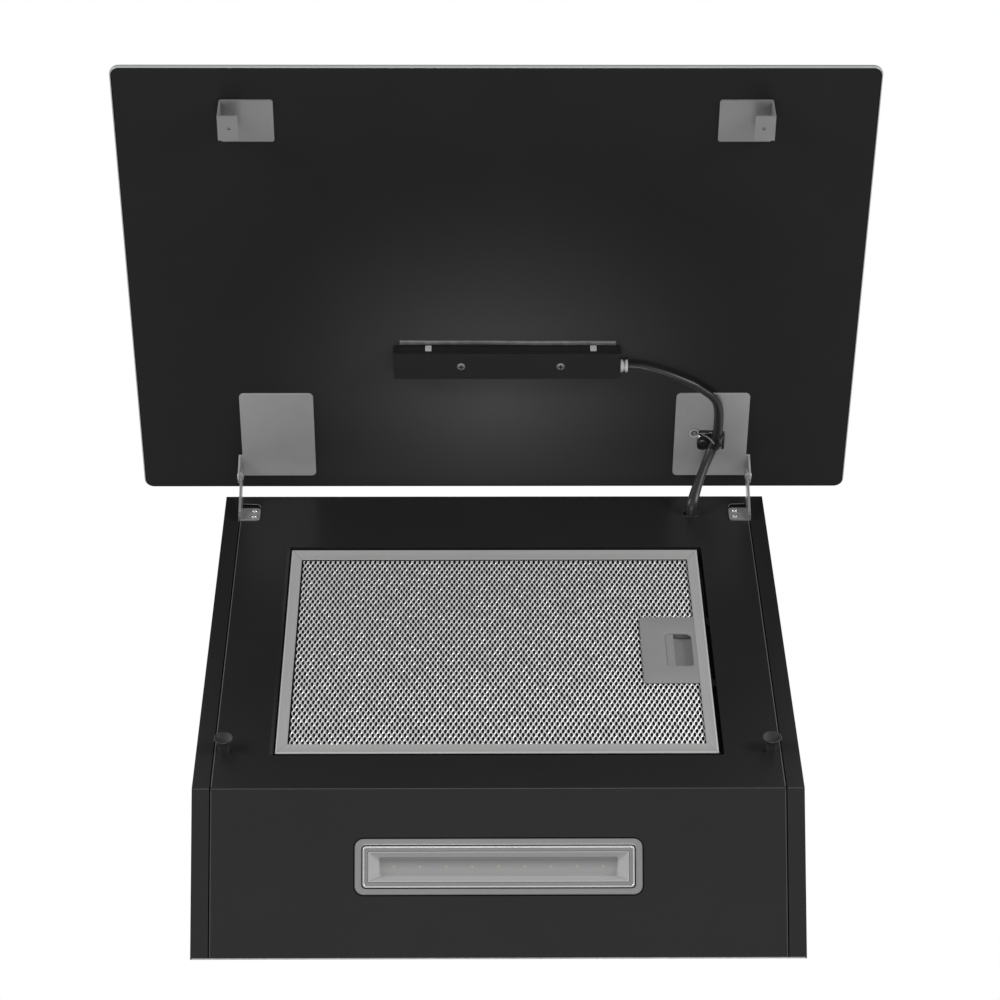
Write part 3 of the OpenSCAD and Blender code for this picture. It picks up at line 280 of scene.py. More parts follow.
@dataclass(frozen=True)
class Finish:
    """A surface finish: mottled colour, uneven roughness and a fine grain relief."""

    name: str
    colour: Triple
    roughness: float
    metallic: float = 0.0
    specular: float = 0.5
    spread: float = 0.08
    cloud_mm: float = 60.0
    grain_mm: float = 1.2
    relief_mm: float = 0.02
    grain: Grain = Grain.NONE
    cloud_share: float = 0.45
    tone_range: Pair = (0.32, 0.68)
    fine_range: Pair = (0.25, 0.75)
    rough_spread: float = 0.12
    relief_strength: float = 0.35

    def shader(self) -> Shader:
        """Builds the nodes: colour by two noises, roughness and relief by the finer one.

        Returns:
            The material under construction.
        """
        made = Shader(self.key)
        cloud = made.noise(made.coords(), self.cloud_mm, 2)
        fine = made.noise(made.coords(self.grain.value), self.grain_mm, 4)
        both = made.calc("ADD", made.calc("MULTIPLY", cloud, self.cloud_share),
                         made.calc("MULTIPLY", fine, 1 - self.cloud_share))
        share = made.ramp(both, *self.tone_range)
        tone = made.mix(share, rgba(self.colour, 1 - self.spread),
                        rgba(self.colour, 1 + self.spread))
        rough = made.ramp(fine, *self.fine_range, self.roughness * (1 - self.rough_spread),
                          min(1.0, self.roughness * (1 + self.rough_spread)))
        made.set(Base_Color=tone, Roughness=rough, Metallic=self.metallic,
                 Specular_IOR_Level=self.specular)
        made.relief(fine, self.relief_strength, self.relief_mm)
        return made

    @property
    def key(self) -> str:
        """Name of the material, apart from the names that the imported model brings."""
        return f"{self.name}_finish"

    def material(self) -> bpy.types.Material:
        """The finished material, made once."""
        return bpy.data.materials.get(self.key) or self.shader().material


@dataclass(frozen=True)
class PoolFinish(Finish):
    """Coat of the glass's inner face, paler round one point: a painted pool of light."""

    # centre, reach and fall place the painted pool of light; pale is its colour
    centre: Triple = (0.0, -443.0, 49.0)
    reach_mm: float = 256.0
    pale: Triple = (0.072, 0.072, 0.073)
    fall: float = 1.9

    def shader(self) -> Shader:
        """Adds the painted pool of light: (1 - distance / reach) to the power of the fall.

        Returns:
            The material under construction.
        """
        made = super().shader()
        centre = tuple(c * MM for c in self.centre)
        gap = made.node("ShaderNodeVectorMath", "Value", {0: made.coords(), 1: centre},
                        operation="DISTANCE")
        near = made.ramp(gap, self.reach_mm * MM, 0.0)
        share = made.calc("POWER", near, self.fall)
        base = made.surface.inputs["Base Color"].links[0].from_socket
        made.set(Base_Color=made.mix(share, base, rgba(self.pale)))
        return made


@dataclass(frozen=True)
class LensFinish(Finish):
    """Frosted lens with the faint dots of the diodes behind it, a painted highlight on its slopes and
    painted shade on its floor.
    """

    dots: int = 9
    pitch_mm: float = 19.5
    dot_y_mm: float = -68.1
    dot_r_mm: float = 0.9
    dot_colour: Triple = (0.40, 0.43, 0.16)
    dot_share: float = 0.38
    # floor levels and slope scale: painted highlight on the slopes; shade fields: painted shade on the floor
    floor_z_mm: Pair = (LAMP_Z + 4.6, LAMP_Z + 5.8)
    slope_scale: float = 1.28
    shade_y_mm: Pair = (-62.0, -74.5)
    shade_scale: float = 0.52
    shade_share: float = 0.9

    def shader(self) -> Shader:
        """Adds a painted highlight on the slopes, painted shade on the floor towards the front, and a row of
        soft dots.

        A dot's distance is taken in X to the nearest multiple of the pitch, and in Y.

        Returns:
            The material under construction.
        """
        made = super().shader()
        x, y, z = add_node(made.tree, "ShaderNodeSeparateXYZ", {0: made.coords()}).outputs
        pitch, radius = self.pitch_mm * MM, self.dot_r_mm * MM
        moved = made.calc("ADD", x, pitch / 2)
        cell = made.node("ShaderNodeMath", 0, {0: moved, 1: pitch, 2: 0.0}, operation="WRAP")
        dx = made.calc("SUBTRACT", cell, pitch / 2)
        dy = made.calc("SUBTRACT", y, self.dot_y_mm * MM)
        gap = made.calc("SQRT", made.calc("ADD", made.calc("POWER", dx, 2.0),
                                          made.calc("POWER", dy, 2.0)))
        dot = made.ramp(gap, radius * 1.5, radius * 0.4)
        inside = made.calc("LESS_THAN", made.calc("ABSOLUTE", x), (self.dots / 2) * pitch)
        share = made.calc("MULTIPLY", made.calc("MULTIPLY", dot, inside), self.dot_share)
        base = made.surface.inputs["Base Color"].links[0].from_socket
        # painted highlight on the slopes above the floor, painted shade on the floor towards the front
        sunk = made.ramp(z, *(level * MM for level in self.floor_z_mm))
        lit_slopes = made.mix(made.calc("SUBTRACT", 1.0, sunk), base,
                         rgba(self.colour, self.slope_scale))
        front = made.ramp(y, *(place * MM for place in self.shade_y_mm))
        shade = made.calc("MULTIPLY", made.calc("MULTIPLY", sunk, front), self.shade_share)
        floor = made.mix(shade, lit_slopes, rgba(self.colour, self.shade_scale))
        made.set(Base_Color=made.mix(share, floor, rgba(self.dot_colour)))
        return made


SHEET_PAINT = Finish("sheet_paint", (0.0127, 0.0127, 0.0130), 0.32, specular=0.24, grain_mm=1.6,
                     relief_mm=0.010)
# paler paint for thin rods along the sheet's edges and fold: painted highlights
SHEET_GLINT = Finish("sheet_glint", (0.085, 0.085, 0.086), 0.40, specular=0.4, relief_mm=0.001)
FOLD_GLINT = Finish("fold_glint", (0.042, 0.042, 0.043), 0.40, specular=0.4, relief_mm=0.001)
# black inner coat of the glass, with a painted pool of light round one point
GLASS_COAT = PoolFinish("glass_coat", (0.0100, 0.0100, 0.0102), 0.50, specular=0.12, spread=0.10,
                        grain_mm=1.4, relief_mm=0.008)
# pale tint of the polished glass edge, lightened as a painted highlight
GLASS_RIM = Finish("glass_rim", (0.30, 0.32, 0.31), 0.14, spread=0.05, cloud_mm=40, relief_mm=0.004)
GLASS_FRONT = Finish("glass_front", (0.005, 0.005, 0.006), 0.24, specular=0.10, spread=0.05,
                     cloud_mm=150, relief_mm=0.002)
GALVANISED = Finish("galvanised", (0.36, 0.37, 0.38), 0.42, metallic=0.7, spread=0.16, cloud_mm=18,
                    grain_mm=3.0)
ZINC = Finish("zinc", (0.48, 0.48, 0.46), 0.32, metallic=0.95, grain_mm=0.6)
BRIGHT_STEEL = Finish("bright_steel", grey(0.75), 0.16, metallic=1.0, grain_mm=0.5,
                      relief_mm=0.004)
FILTER_STEEL = Finish("filter_steel", (0.343, 0.343, 0.340), 0.38, metallic=0.08, spread=0.03,
                      grain_mm=0.8, relief_mm=0.002, grain=Grain.ACROSS)
# near-black for the frame's walls, backs and mitre ends, the tabs and the latch tongues: painted shade
FILTER_PAINTED_SHADE = Finish("filter_edge", grey(0.010), 0.6, specular=0.15)
MESH_ALLOY = Finish("mesh_alloy", grey(0.84), 0.34, metallic=0.45, spread=0.12, cloud_mm=5,
                    grain_mm=0.5, relief_mm=0.004)
# near-black for the filter's aluminium core behind the mesh: painted shade
MESH_CORE_SHADE = Finish("mesh_back", grey(0.012), 0.5, metallic=0.2, spread=0.9, cloud_mm=5,
                   grain_mm=1.5, relief_mm=0.3)
HANDLE_GREY = Finish("handle_grey", grey(0.225), 0.55, specular=0.35, spread=0.03, relief_mm=0.005)
LATCH_GREY = Finish("latch_grey", grey(0.215), 0.50, specular=0.35, spread=0.05, relief_mm=0.003)
SHADED_GREY = Finish("shaded_grey", grey(0.125), 0.60, specular=0.25, relief_mm=0.003)
LAMP_SILVER = Finish("lamp_silver", grey(0.205), 0.30, metallic=0.20, spread=0.03, cloud_mm=30,
                     relief_mm=0.0008)
# paler copy of the bezel's silver on the ring's bead: painted highlight
LAMP_BEAD_HIGHLIGHT = Finish("lamp_bead", grey(0.57), 0.24, metallic=0.6, spread=0.03, cloud_mm=30,
                   relief_mm=0.0005)
LAMP_LENS = LensFinish("lamp_lens", grey(0.27), 0.40, specular=0.3, spread=0.02, relief_mm=0.001)
# near-black for the ring round the bezel, its groove and the screws' crosses: painted shade
PAINTED_SHADE_BLACK = Finish("gasket", grey(0.0015), 0.9, specular=0.05)
RUBBER = Finish("rubber", grey(0.019), 0.42, specular=0.4, relief_mm=0.003)
ARM_STEEL = Finish("arm_steel", grey(0.30), 0.28, metallic=0.55, grain_mm=0.8, relief_mm=0.008)
# hinge plates paler than the catch brackets of the same steel, making up for the body's shade near the
# hinge: painted light
PLATE_STEEL_LIT = Finish("plate_steel", grey(0.30), 0.42, metallic=0.15, spread=0.06, cloud_mm=25,
                     grain_mm=1.0, relief_mm=0.01)
BRACKET_STEEL = Finish("bracket_steel", grey(0.20), 0.42, metallic=0.15, spread=0.06, cloud_mm=25,
                       grain_mm=1.0, relief_mm=0.01)
STRIP_STEEL = Finish("strip_steel", grey(0.105), 0.45, metallic=0.2, spread=0.40, cloud_mm=9,
                     grain_mm=7.0, relief_mm=0.08)
# paler copy of the strip's steel for its hooks, standing for the light they catch: painted light
HOOK_STEEL_LIT = Finish("hook_steel", grey(0.34), 0.4, metallic=0.1)
GLAND_GREY = Finish("gland_grey", (0.42, 0.42, 0.41), 0.45)
LEAD_JACKET = Finish("lead_jacket", grey(0.015), 0.36, specular=0.36, spread=0.15, cloud_mm=8,
                     grain_mm=1.5, relief_mm=0.001)
CLIP_PLASTIC = Finish("clip_plastic", grey(0.010), 0.20, specular=0.7, relief_mm=0.001)
# grey for painted highlights on the black clip and painted shade on its pale ring
CLIP_PAINTED_LIGHT = Finish("clip_pale", grey(0.095), 0.35, relief_mm=0.001)
CLIP_RING = Finish("clip_ring", grey(0.40), 0.30, relief_mm=0.001)
# paler copy of the frame's steel on the outer bead: painted highlight
FILTER_BEAD_HIGHLIGHT = Finish("filter_bead", grey(0.46), 0.34, metallic=0.1, spread=0.03, cloud_mm=40,
                     relief_mm=0.001)
BLACK_PLASTIC = Finish("black_plastic", grey(0.012), 0.40, specular=0.4, relief_mm=0.01)
BOX_PLASTIC = Finish("box_plastic", grey(0.0092), 0.40, specular=0.25, relief_mm=0.010)
BOX_SCREW = Finish("box_screw", grey(0.17), 0.35, metallic=0.3)
WHITE_PLASTIC = Finish("white_plastic", (0.72, 0.72, 0.69), 0.42)
BOARD_GREEN = Finish("board_green", (0.03, 0.14, 0.05), 0.38, spread=0.2, grain_mm=0.8)
BOARD_WHITE = Finish("board_white", (0.75, 0.76, 0.72), 0.45, spread=0.04)
DIODE = Finish("diode", (0.62, 0.56, 0.16), 0.3, spread=0.1, cloud_mm=2)
ALLOY = Finish("cast_alloy", (0.44, 0.45, 0.46), 0.45, metallic=0.85, grain_mm=1.5, relief_mm=0.04)
MAGNET = Finish("magnet", (0.14, 0.14, 0.145), 0.35, metallic=0.7)
FLOOR_PALE = Finish("floor_pale", grey(0.78), 0.8, specular=0.2, spread=0.01, cloud_mm=900,
                    grain_mm=30)

SLOT_FINISH: dict[str, Finish] = {
    "black_sheet": SHEET_PAINT, "galvanised": GALVANISED, "zinc_screws": ZINC,
    "bright_screws": BRIGHT_STEEL, "filter_steel": FILTER_STEEL, "filter_mesh": MESH_CORE_SHADE,
    "handle_grey": HANDLE_GREY, "latch_grey": LATCH_GREY, "spring_steel": BRIGHT_STEEL,
    "lamp_silver": LAMP_SILVER, "lamp_lens": LAMP_LENS, "board_white": BOARD_WHITE, "diode": DIODE,
    "cup_rubber": RUBBER, "magnet": MAGNET, "arm_steel": ARM_STEEL, "plate_steel": PLATE_STEEL_LIT,
    "washer_black": BLACK_PLASTIC, "motor_alloy": ALLOY, "impeller_alloy": GALVANISED,
    "black_plastic": BLACK_PLASTIC, "white_plastic": WHITE_PLASTIC, "board_green": BOARD_GREEN,
    "black_glass": GLASS_FRONT, "strip_grey": STRIP_STEEL, "gland_grey": GLAND_GREY,
    "lead_black": LEAD_JACKET,
}


# ---------------------------------------------------------------- meshes


def grid_faces(rows: int, columns: int, wrap_rows: bool = False) -> np.ndarray:
    """Quads between neighbouring rings, each joined from its last point to its first.

    Args:
        rows: Number of rings or stations.
        columns: Points in each ring.
        wrap_rows: True joins the last ring to the first.

    Returns:
        Array (n, 4) of vertex numbers.
    """
    i, k = np.indices((rows if wrap_rows else rows - 1, columns)).reshape(2, -1)
    i1, k1 = (i + 1) % rows, (k + 1) % columns
    return np.stack([i, i, i1, i1], axis=1) * columns + np.stack([k, k1, k1, k], axis=1)


def piece(name: str, points: np.ndarray, faces: list | np.ndarray, finishes: tuple[Finish, ...],
          body: Body | None, stands_for: tuple[str, ...] = (),
          face_slots: np.ndarray | None = None, sharp_deg: float = CREASE_DEG) -> bpy.types.Object:
    """Makes a mesh object that rides on a body, or on none yet.

    Args:
        name: Name of the piece.
        points: Array (n, 3) in metres.
        faces: Vertex numbers of each face.
        finishes: Finishes of its material slots.
        body: Body that it moves with.
        stands_for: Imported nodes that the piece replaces.
        face_slots: Number of the finish of each face.
        sharp_deg: Edges that turn more than this stay sharp.

    Returns:
        The new object.
    """
    mesh = bpy.data.meshes.new(name)
    faces = faces if isinstance(faces, list) else faces.tolist()
    mesh.from_pydata(np.asarray(points).reshape(-1, 3), [], faces)
    for finish in finishes:
        mesh.materials.append(finish.material())
    if face_slots is not None:
        mesh.polygons.foreach_set("material_index", np.asarray(face_slots, dtype=np.int32))
    mesh.shade_smooth()
    mesh.set_sharp_from_angle(angle=math.radians(sharp_deg))
    mesh.update()
    made = bpy.data.objects.new(name, mesh)
    bpy.context.scene.collection.objects.link(made)
    if body:
        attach(made, body.value)
    if stands_for:
        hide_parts(*stands_for)
    return made


def outline(width: float, length: float, radius: float | tuple[float, ...],
            steps: int = 6) -> np.ndarray:
    """Rounded rectangle round the origin, anticlockwise: quarter circles at the four corners.

    Args:
        width: Size across.
        length: Size along.
        radius: Corner radius, or four from the upper right corner on.
        steps: Segments in each corner.

    Returns:
        Array (4 * (steps + 1), 2).
    """
    radii = np.broadcast_to(np.asarray(radius, float), 4)[:, None]
    turn = np.linspace(0, math.pi / 2, steps + 1)[None, :] + np.arange(4)[:, None] * math.pi / 2
    sx, sy = np.array([[1], [-1], [-1], [1]]), np.array([[1], [1], [-1], [-1]])
    x = sx * (width / 2 - radii) + radii * np.cos(turn)
    y = sy * (length / 2 - radii) + radii * np.sin(turn)
    return np.stack([x.ravel(), y.ravel()], axis=1)


def rings(sections: list[tuple[float, float, float, float]], centre: Pair = (0, 0),
          steps: int = 6) -> np.ndarray:
    """Rounded rectangles stacked outwards.

    Args:
        sections: Width, length, corner radius and height of each.
        centre: Their common middle.
        steps: Segments in each corner.

    Returns:
        Array (sections, 4 * (steps + 1), 3).
    """
    return np.stack([np.insert(outline(w, l, r, steps) + np.asarray(centre), 2, h, axis=1)
                     for w, l, r, h in sections])


def slab(width: float, length: float, radius: float, span: Pair,
         centre: Pair, inset: Pair = (0.6, 0.6)) -> np.ndarray:
    """Rounded plate whose ends are drawn in over the last 0.3 mm.

    Args:
        width: Size across.
        length: Size along.
        radius: Corner radius.
        span: Lowest and highest level.
        centre: Middle of the plate.
        inset: How much narrower and shorter its two ends are.

    Returns:
        Array (4, 16, 3) of rings.
    """
    bevel, (low, high) = 0.3, span
    end, side = (width - inset[0], length - inset[1], radius - 0.2), (width, length, radius)
    sections = [(*end, low), (*side, low + bevel), (*side, high - bevel), (*end, high)]
    return rings(sections, centre, 3)


def loft(stack: np.ndarray, closed: bool = False, first: int = 0) -> list[list[int]]:
    """Faces of a stack of rings: quads between neighbours, and a lid at each end unless closed.

    Args:
        stack: Array (rings, points, 3).
        closed: True joins the last ring to the first.
        first: Number of the stack's first vertex.

    Returns:
        List of faces.
    """
    count, points = stack.shape[:2]
    faces = (grid_faces(count, points, wrap_rows=closed) + first).tolist()
    if not closed:
        faces.append(list(range(first + points - 1, first - 1, -1)))
        faces.append(list(range(first + (count - 1) * points, first + count * points)))
    return faces


def build_stacks(name: str, stacks: list[np.ndarray], place: Place, finish: Finish, body: Body,
                 stands_for: tuple[str, ...] = (),
                 sharp_deg: float = CREASE_DEG) -> bpy.types.Object:
    """Makes one piece of several stacks of rings.

    Args:
        name: Name of the piece.
        stacks: Stacks of rings, in the coordinates of the place.
        place: Face that carries them.
        finish: Their finish.
        body: Body that they move with.
        stands_for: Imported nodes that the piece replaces.
        sharp_deg: Edges that turn more than this stay sharp.

    Returns:
        The new object.
    """
    starts = np.cumsum([0] + [s.shape[0] * s.shape[1] for s in stacks])
    faces = [f for stack, first in zip(stacks, starts) for f in loft(stack, first=int(first))]
    points = place.world(np.concatenate([s.reshape(-1, 3) for s in stacks]))
    return piece(name, points, faces, (finish,), body, stands_for, sharp_deg=sharp_deg)


def circle(sides: int) -> tuple[np.ndarray, np.ndarray]:
    """Cosines and sines of evenly spaced turns."""
    v = np.linspace(0, 2 * math.pi, sides, endpoint=False)
    return np.cos(v), np.sin(v)


def sweep(path: np.ndarray, a: np.ndarray | float, b: np.ndarray | float, hint: np.ndarray,
          sides: int = 24) -> np.ndarray:
    """Ellipses along a path: side * a * cos(v) + lift * b * sin(v), both square to the run.

    Args:
        path: Array (n, 3) of centres.
        a: Half width along the hint, one value or one for each centre.
        b: Half width across it.
        hint: Direction of the first half width, one or one for each centre.
        sides: Points in each ring.

    Returns:
        Array (n, sides, 3).
    """
    run = np.gradient(path, axis=0)
    run /= np.linalg.norm(run, axis=1, keepdims=True)
    side = hint - np.sum(hint * run, axis=1, keepdims=True) * run
    side /= np.linalg.norm(side, axis=1, keepdims=True)
    lift = np.cross(run, side)
    cos, sin = (c[None, :, None] for c in circle(sides))
    a, b = (np.broadcast_to(np.asarray(w, float), len(path))[:, None, None] for w in (a, b))
    return path[:, None, :] + a * cos * side[:, None, :] + b * sin * lift[:, None, :]


def turned(profile: list[Pair], sides: int = 32) -> np.ndarray:
    """Rings of a shape turned about the X axis, from (x, radius) pairs that run towards +X."""
    cos, sin = circle(sides)
    return np.stack([np.column_stack([np.full(sides, x), r * cos, r * sin]) for x, r in profile])


def screw_head(radius: float, height: float, cross: float, centre: Triple) -> np.ndarray:
    """Domed head with a sunk cross, as rings from the rim to the middle.

    Height at (r, v) is height * (0.35 + 0.65 * (1 - (r / radius)^2)^0.5), less 0.75 of
    the height in a cross-shaped well. The well is full where the smaller of |x|, |y| is
    under 0.08 of the cross, gone where it is over 0.2 of it, and ends at the cross's reach.

    Args:
        radius: Radius of the head.
        height: Height of the dome.
        cross: Half length of the cross.
        centre: Middle of the head's seat.

    Returns:
        Array (24, 48, 3).
    """
    r = radius * np.concatenate([[1.0, 1.0], np.linspace(0.985, 0.01, 22)])[:, None]
    x, y = (r * c for c in circle(48))
    near, far = np.minimum(abs(x), abs(y)), np.maximum(abs(x), abs(y))
    well = np.clip((0.2 - near / cross) / 0.12, 0, 1) * np.clip((1 - far / cross) / 0.2, 0, 1)
    dome = height * (0.35 + 0.65 * np.sqrt(np.clip(1 - (r / radius) ** 2, 0, 1))) * np.ones_like(x)
    dome[0] = -0.2
    h = dome - well * height * 0.75
    return np.stack([x, y, h], axis=-1) + np.asarray(centre)


def merged_copy(node: str) -> bpy.types.Mesh:
    """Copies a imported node's mesh with its loose triangles joined and flat ones merged.

    Args:
        node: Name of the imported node.

    Returns:
        The new mesh.
    """
    source = bmesh.new()
    source.from_mesh(frame["nodes"][node].data)
    bmesh.ops.remove_doubles(source, verts=source.verts, dist=WELD)
    bmesh.ops.dissolve_limit(source, angle_limit=math.radians(FLAT_DEG), verts=source.verts,
                             edges=source.edges)
    source.verts.index_update()
    points = [v.co[:] for v in source.verts]
    faces = [[v.index for v in f.verts] for f in source.faces]
    source.free()
    mesh = bpy.data.meshes.new(node + "_soft")
    mesh.from_pydata(points, [], faces)
    return mesh


def soften(node: str, edge_mm: float, segments: int = 2,
           finish: Finish | None = None) -> bpy.types.Object:
    """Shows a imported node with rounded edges.

    Args:
        node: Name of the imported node.
        edge_mm: Width of the rounded edges.
        segments: Segments across each rounded edge.
        finish: Finish, or the one of the node's own slot.

    Returns:
        The object that stands for the node.
    """
    mesh = merged_copy(node)
    mesh.materials.append((finish or SLOT_FINISH[SLOTS[node]]).material())
    mesh.shade_smooth()
    made = bpy.data.objects.new(node + "_soft", mesh)
    bpy.context.scene.collection.objects.link(made)
    bevel = made.modifiers.new("edges", "BEVEL")
    bevel.width = edge_mm * MM
    bevel.segments = segments
    bevel.limit_method = "ANGLE"
    bevel.angle_limit = math.radians(BEVEL_DEG)
    bevel.miter_outer = "MITER_ARC"
    made.modifiers.new("normals", "WEIGHTED_NORMAL").keep_sharp = True
    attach(made, body_of(frame["nodes"][node])[0])
    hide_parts(node)
    return made


def carve(target: bpy.types.Object, cutters: list[np.ndarray]) -> None:
    """Cuts boxes out of a piece.

    Args:
        target: The piece.
        cutters: Eight corners each, in metres, lower four and then upper four.
    """
    faces = [f for n in range(len(cutters)) for f in loft(np.zeros((2, 4, 3)), first=8 * n)]
    mesh = bpy.data.meshes.new("cutter")
    mesh.from_pydata(np.concatenate(cutters), [], faces)
    tool = bpy.data.objects.new("cutter", mesh)
    bpy.context.scene.collection.objects.link(tool)
    cut = target.modifiers.new("cut", "BOOLEAN")
    cut.object, cut.operation, cut.solver = tool, "DIFFERENCE", "EXACT"
    graph = bpy.context.evaluated_depsgraph_get()
    result = bpy.data.meshes.new_from_object(target.evaluated_get(graph), depsgraph=graph)
    target.modifiers.clear()
    target.data = result
    bpy.data.objects.remove(tool, do_unlink=True)


def box_corners(place: Place, x: Pair, y: Pair,
                h: Pair) -> np.ndarray:
    """Eight corners of a box between limits, ring by ring outwards."""
    flat = [(x[0], y[0]), (x[1], y[0]), (x[1], y[1]), (x[0], y[1])]
    return place.world(np.array([(*p, level) for level in h for p in flat]))


def stroke(points: np.ndarray, per_leg: int = 6) -> np.ndarray:
    """Smooth curve through points, by a Catmull-Rom cubic on each leg.

    Args:
        points: Array (n, k) of places and any values carried with them.
        per_leg: Samples on each leg.

    Returns:
        Array ((n - 1) * per_leg + 1, k).
    """
    p = np.vstack([2 * points[0] - points[1], points, 2 * points[-1] - points[-2]])
    u = (np.arange(per_leg) / per_leg)[None, :, None]
    a, b, c, d = (p[i:len(p) - 3 + i, None, :] for i in range(4))
    legs = 0.5 * (2 * b + (c - a) * u + (2 * a - 5 * b + 4 * c - d) * u**2
                  + (3 * b - a - 3 * c + d) * u**3)
    return np.vstack([legs.reshape(-1, points.shape[1]), points[-1:]])


# ---------------------------------------------------------------- sub-assemblies


@dataclass
class BodyShell:
    """Bent sheet body with its panels, fixings and the seat of the filter."""

    sheet_edge: float = 0.45
    thin_edge: float = 0.315
    fold_edge: float = 0.9
    screw_edge: float = 0.25
    edge_r: float = 0.45
    edge_x: float = 214.1
    edge_level: float = -0.33
    filter_run: Pair = (2.0, 398.0)
    lamp_run: Pair = (1.5, 124.5)
    stations: int = 12
    fold_x: tuple[Pair, ...] = ((-227.9, -215.8), (-214.2, 214.2), (215.8, 227.9))
    fold_out: float = 0.40
    hem_x: Pair = (-173.2, -170.1)
    hem_s: Pair = (41.2, 321.8)

    def build(self) -> None:
        """Rounds the edges of every panel and of the screws that join them, and adds the hem."""
        soften("front_sheet", self.fold_edge, 4)
        for side in Side:
            soften(f"side_panel_{side.word}", self.sheet_edge, 3)
        # black sheet paint on the top panel instead of its galvanised slot, to darken what shows through the
        # arms' slots: painted shade
        soften("top_panel", self.thin_edge, finish=SHEET_PAINT)
        for node in ("back_panel", "filter_seat"):
            soften(node, self.thin_edge)
        for node in ("panel_screws", "blower_screws"):
            soften(node, self.screw_edge)
        self.build_hem()
        self.build_edges()

    def rod(self, start: Triple, end: Triple, radius: float, hint: np.ndarray) -> np.ndarray:
        """Circles at even steps between two points."""
        return sweep(np.linspace(start, end, self.stations), radius, radius, hint, 12)

    def build_edges(self) -> None:
        """Thin rods in paler paint along both sides of both faces and along the fold: painted highlights on
        the sheet's rounded edges.
        """
        for place, (low, high), finish, name in (
                (FILTER_FACE, self.filter_run, SHEET_GLINT, "sheet_edges_filter"),
                (LAMP_FACE, self.lamp_run, FOLD_GLINT, "sheet_edges_lamp")):
            runs = [self.rod((x, low, self.edge_level), (x, high, self.edge_level), self.edge_r,
                             ACROSS) for x in (self.edge_x, -self.edge_x)]
            build_stacks(name, runs, place, finish, Body.HOOD)
        y = -LAMP_DEPTH + math.sin(SLOPE / 2) * self.fold_out
        z = LAMP_Z + math.cos(SLOPE / 2) * self.fold_out
        folds = [self.rod((x0, y, z), (x1, y, z), self.edge_r * 0.9, OUTWARDS)
                 for x0, x1 in self.fold_x]
        build_stacks("sheet_fold_edge", folds, HERE, FOLD_GLINT, Body.HOOD)

    def build_hem(self) -> None:
        """Folded hem that narrows the slit at the left of the filter's opening."""
        (x0, x1), (s0, s1) = self.hem_x, self.hem_s
        width, length = x1 - x0, s1 - s0
        sections = [(width - d, length - d, r, h) for d, r, h in (
            (0.0, 0.5, -0.8), (0.0, 0.5, -0.3), (0.2, 0.4, -0.08), (0.6, 0.3, 0.012))]
        hem = rings(sections, ((x0 + x1) / 2, (s0 + s1) / 2), 4)
        build_stacks("opening_hem", [hem], FILTER_FACE, SHEET_PAINT, Body.HOOD)


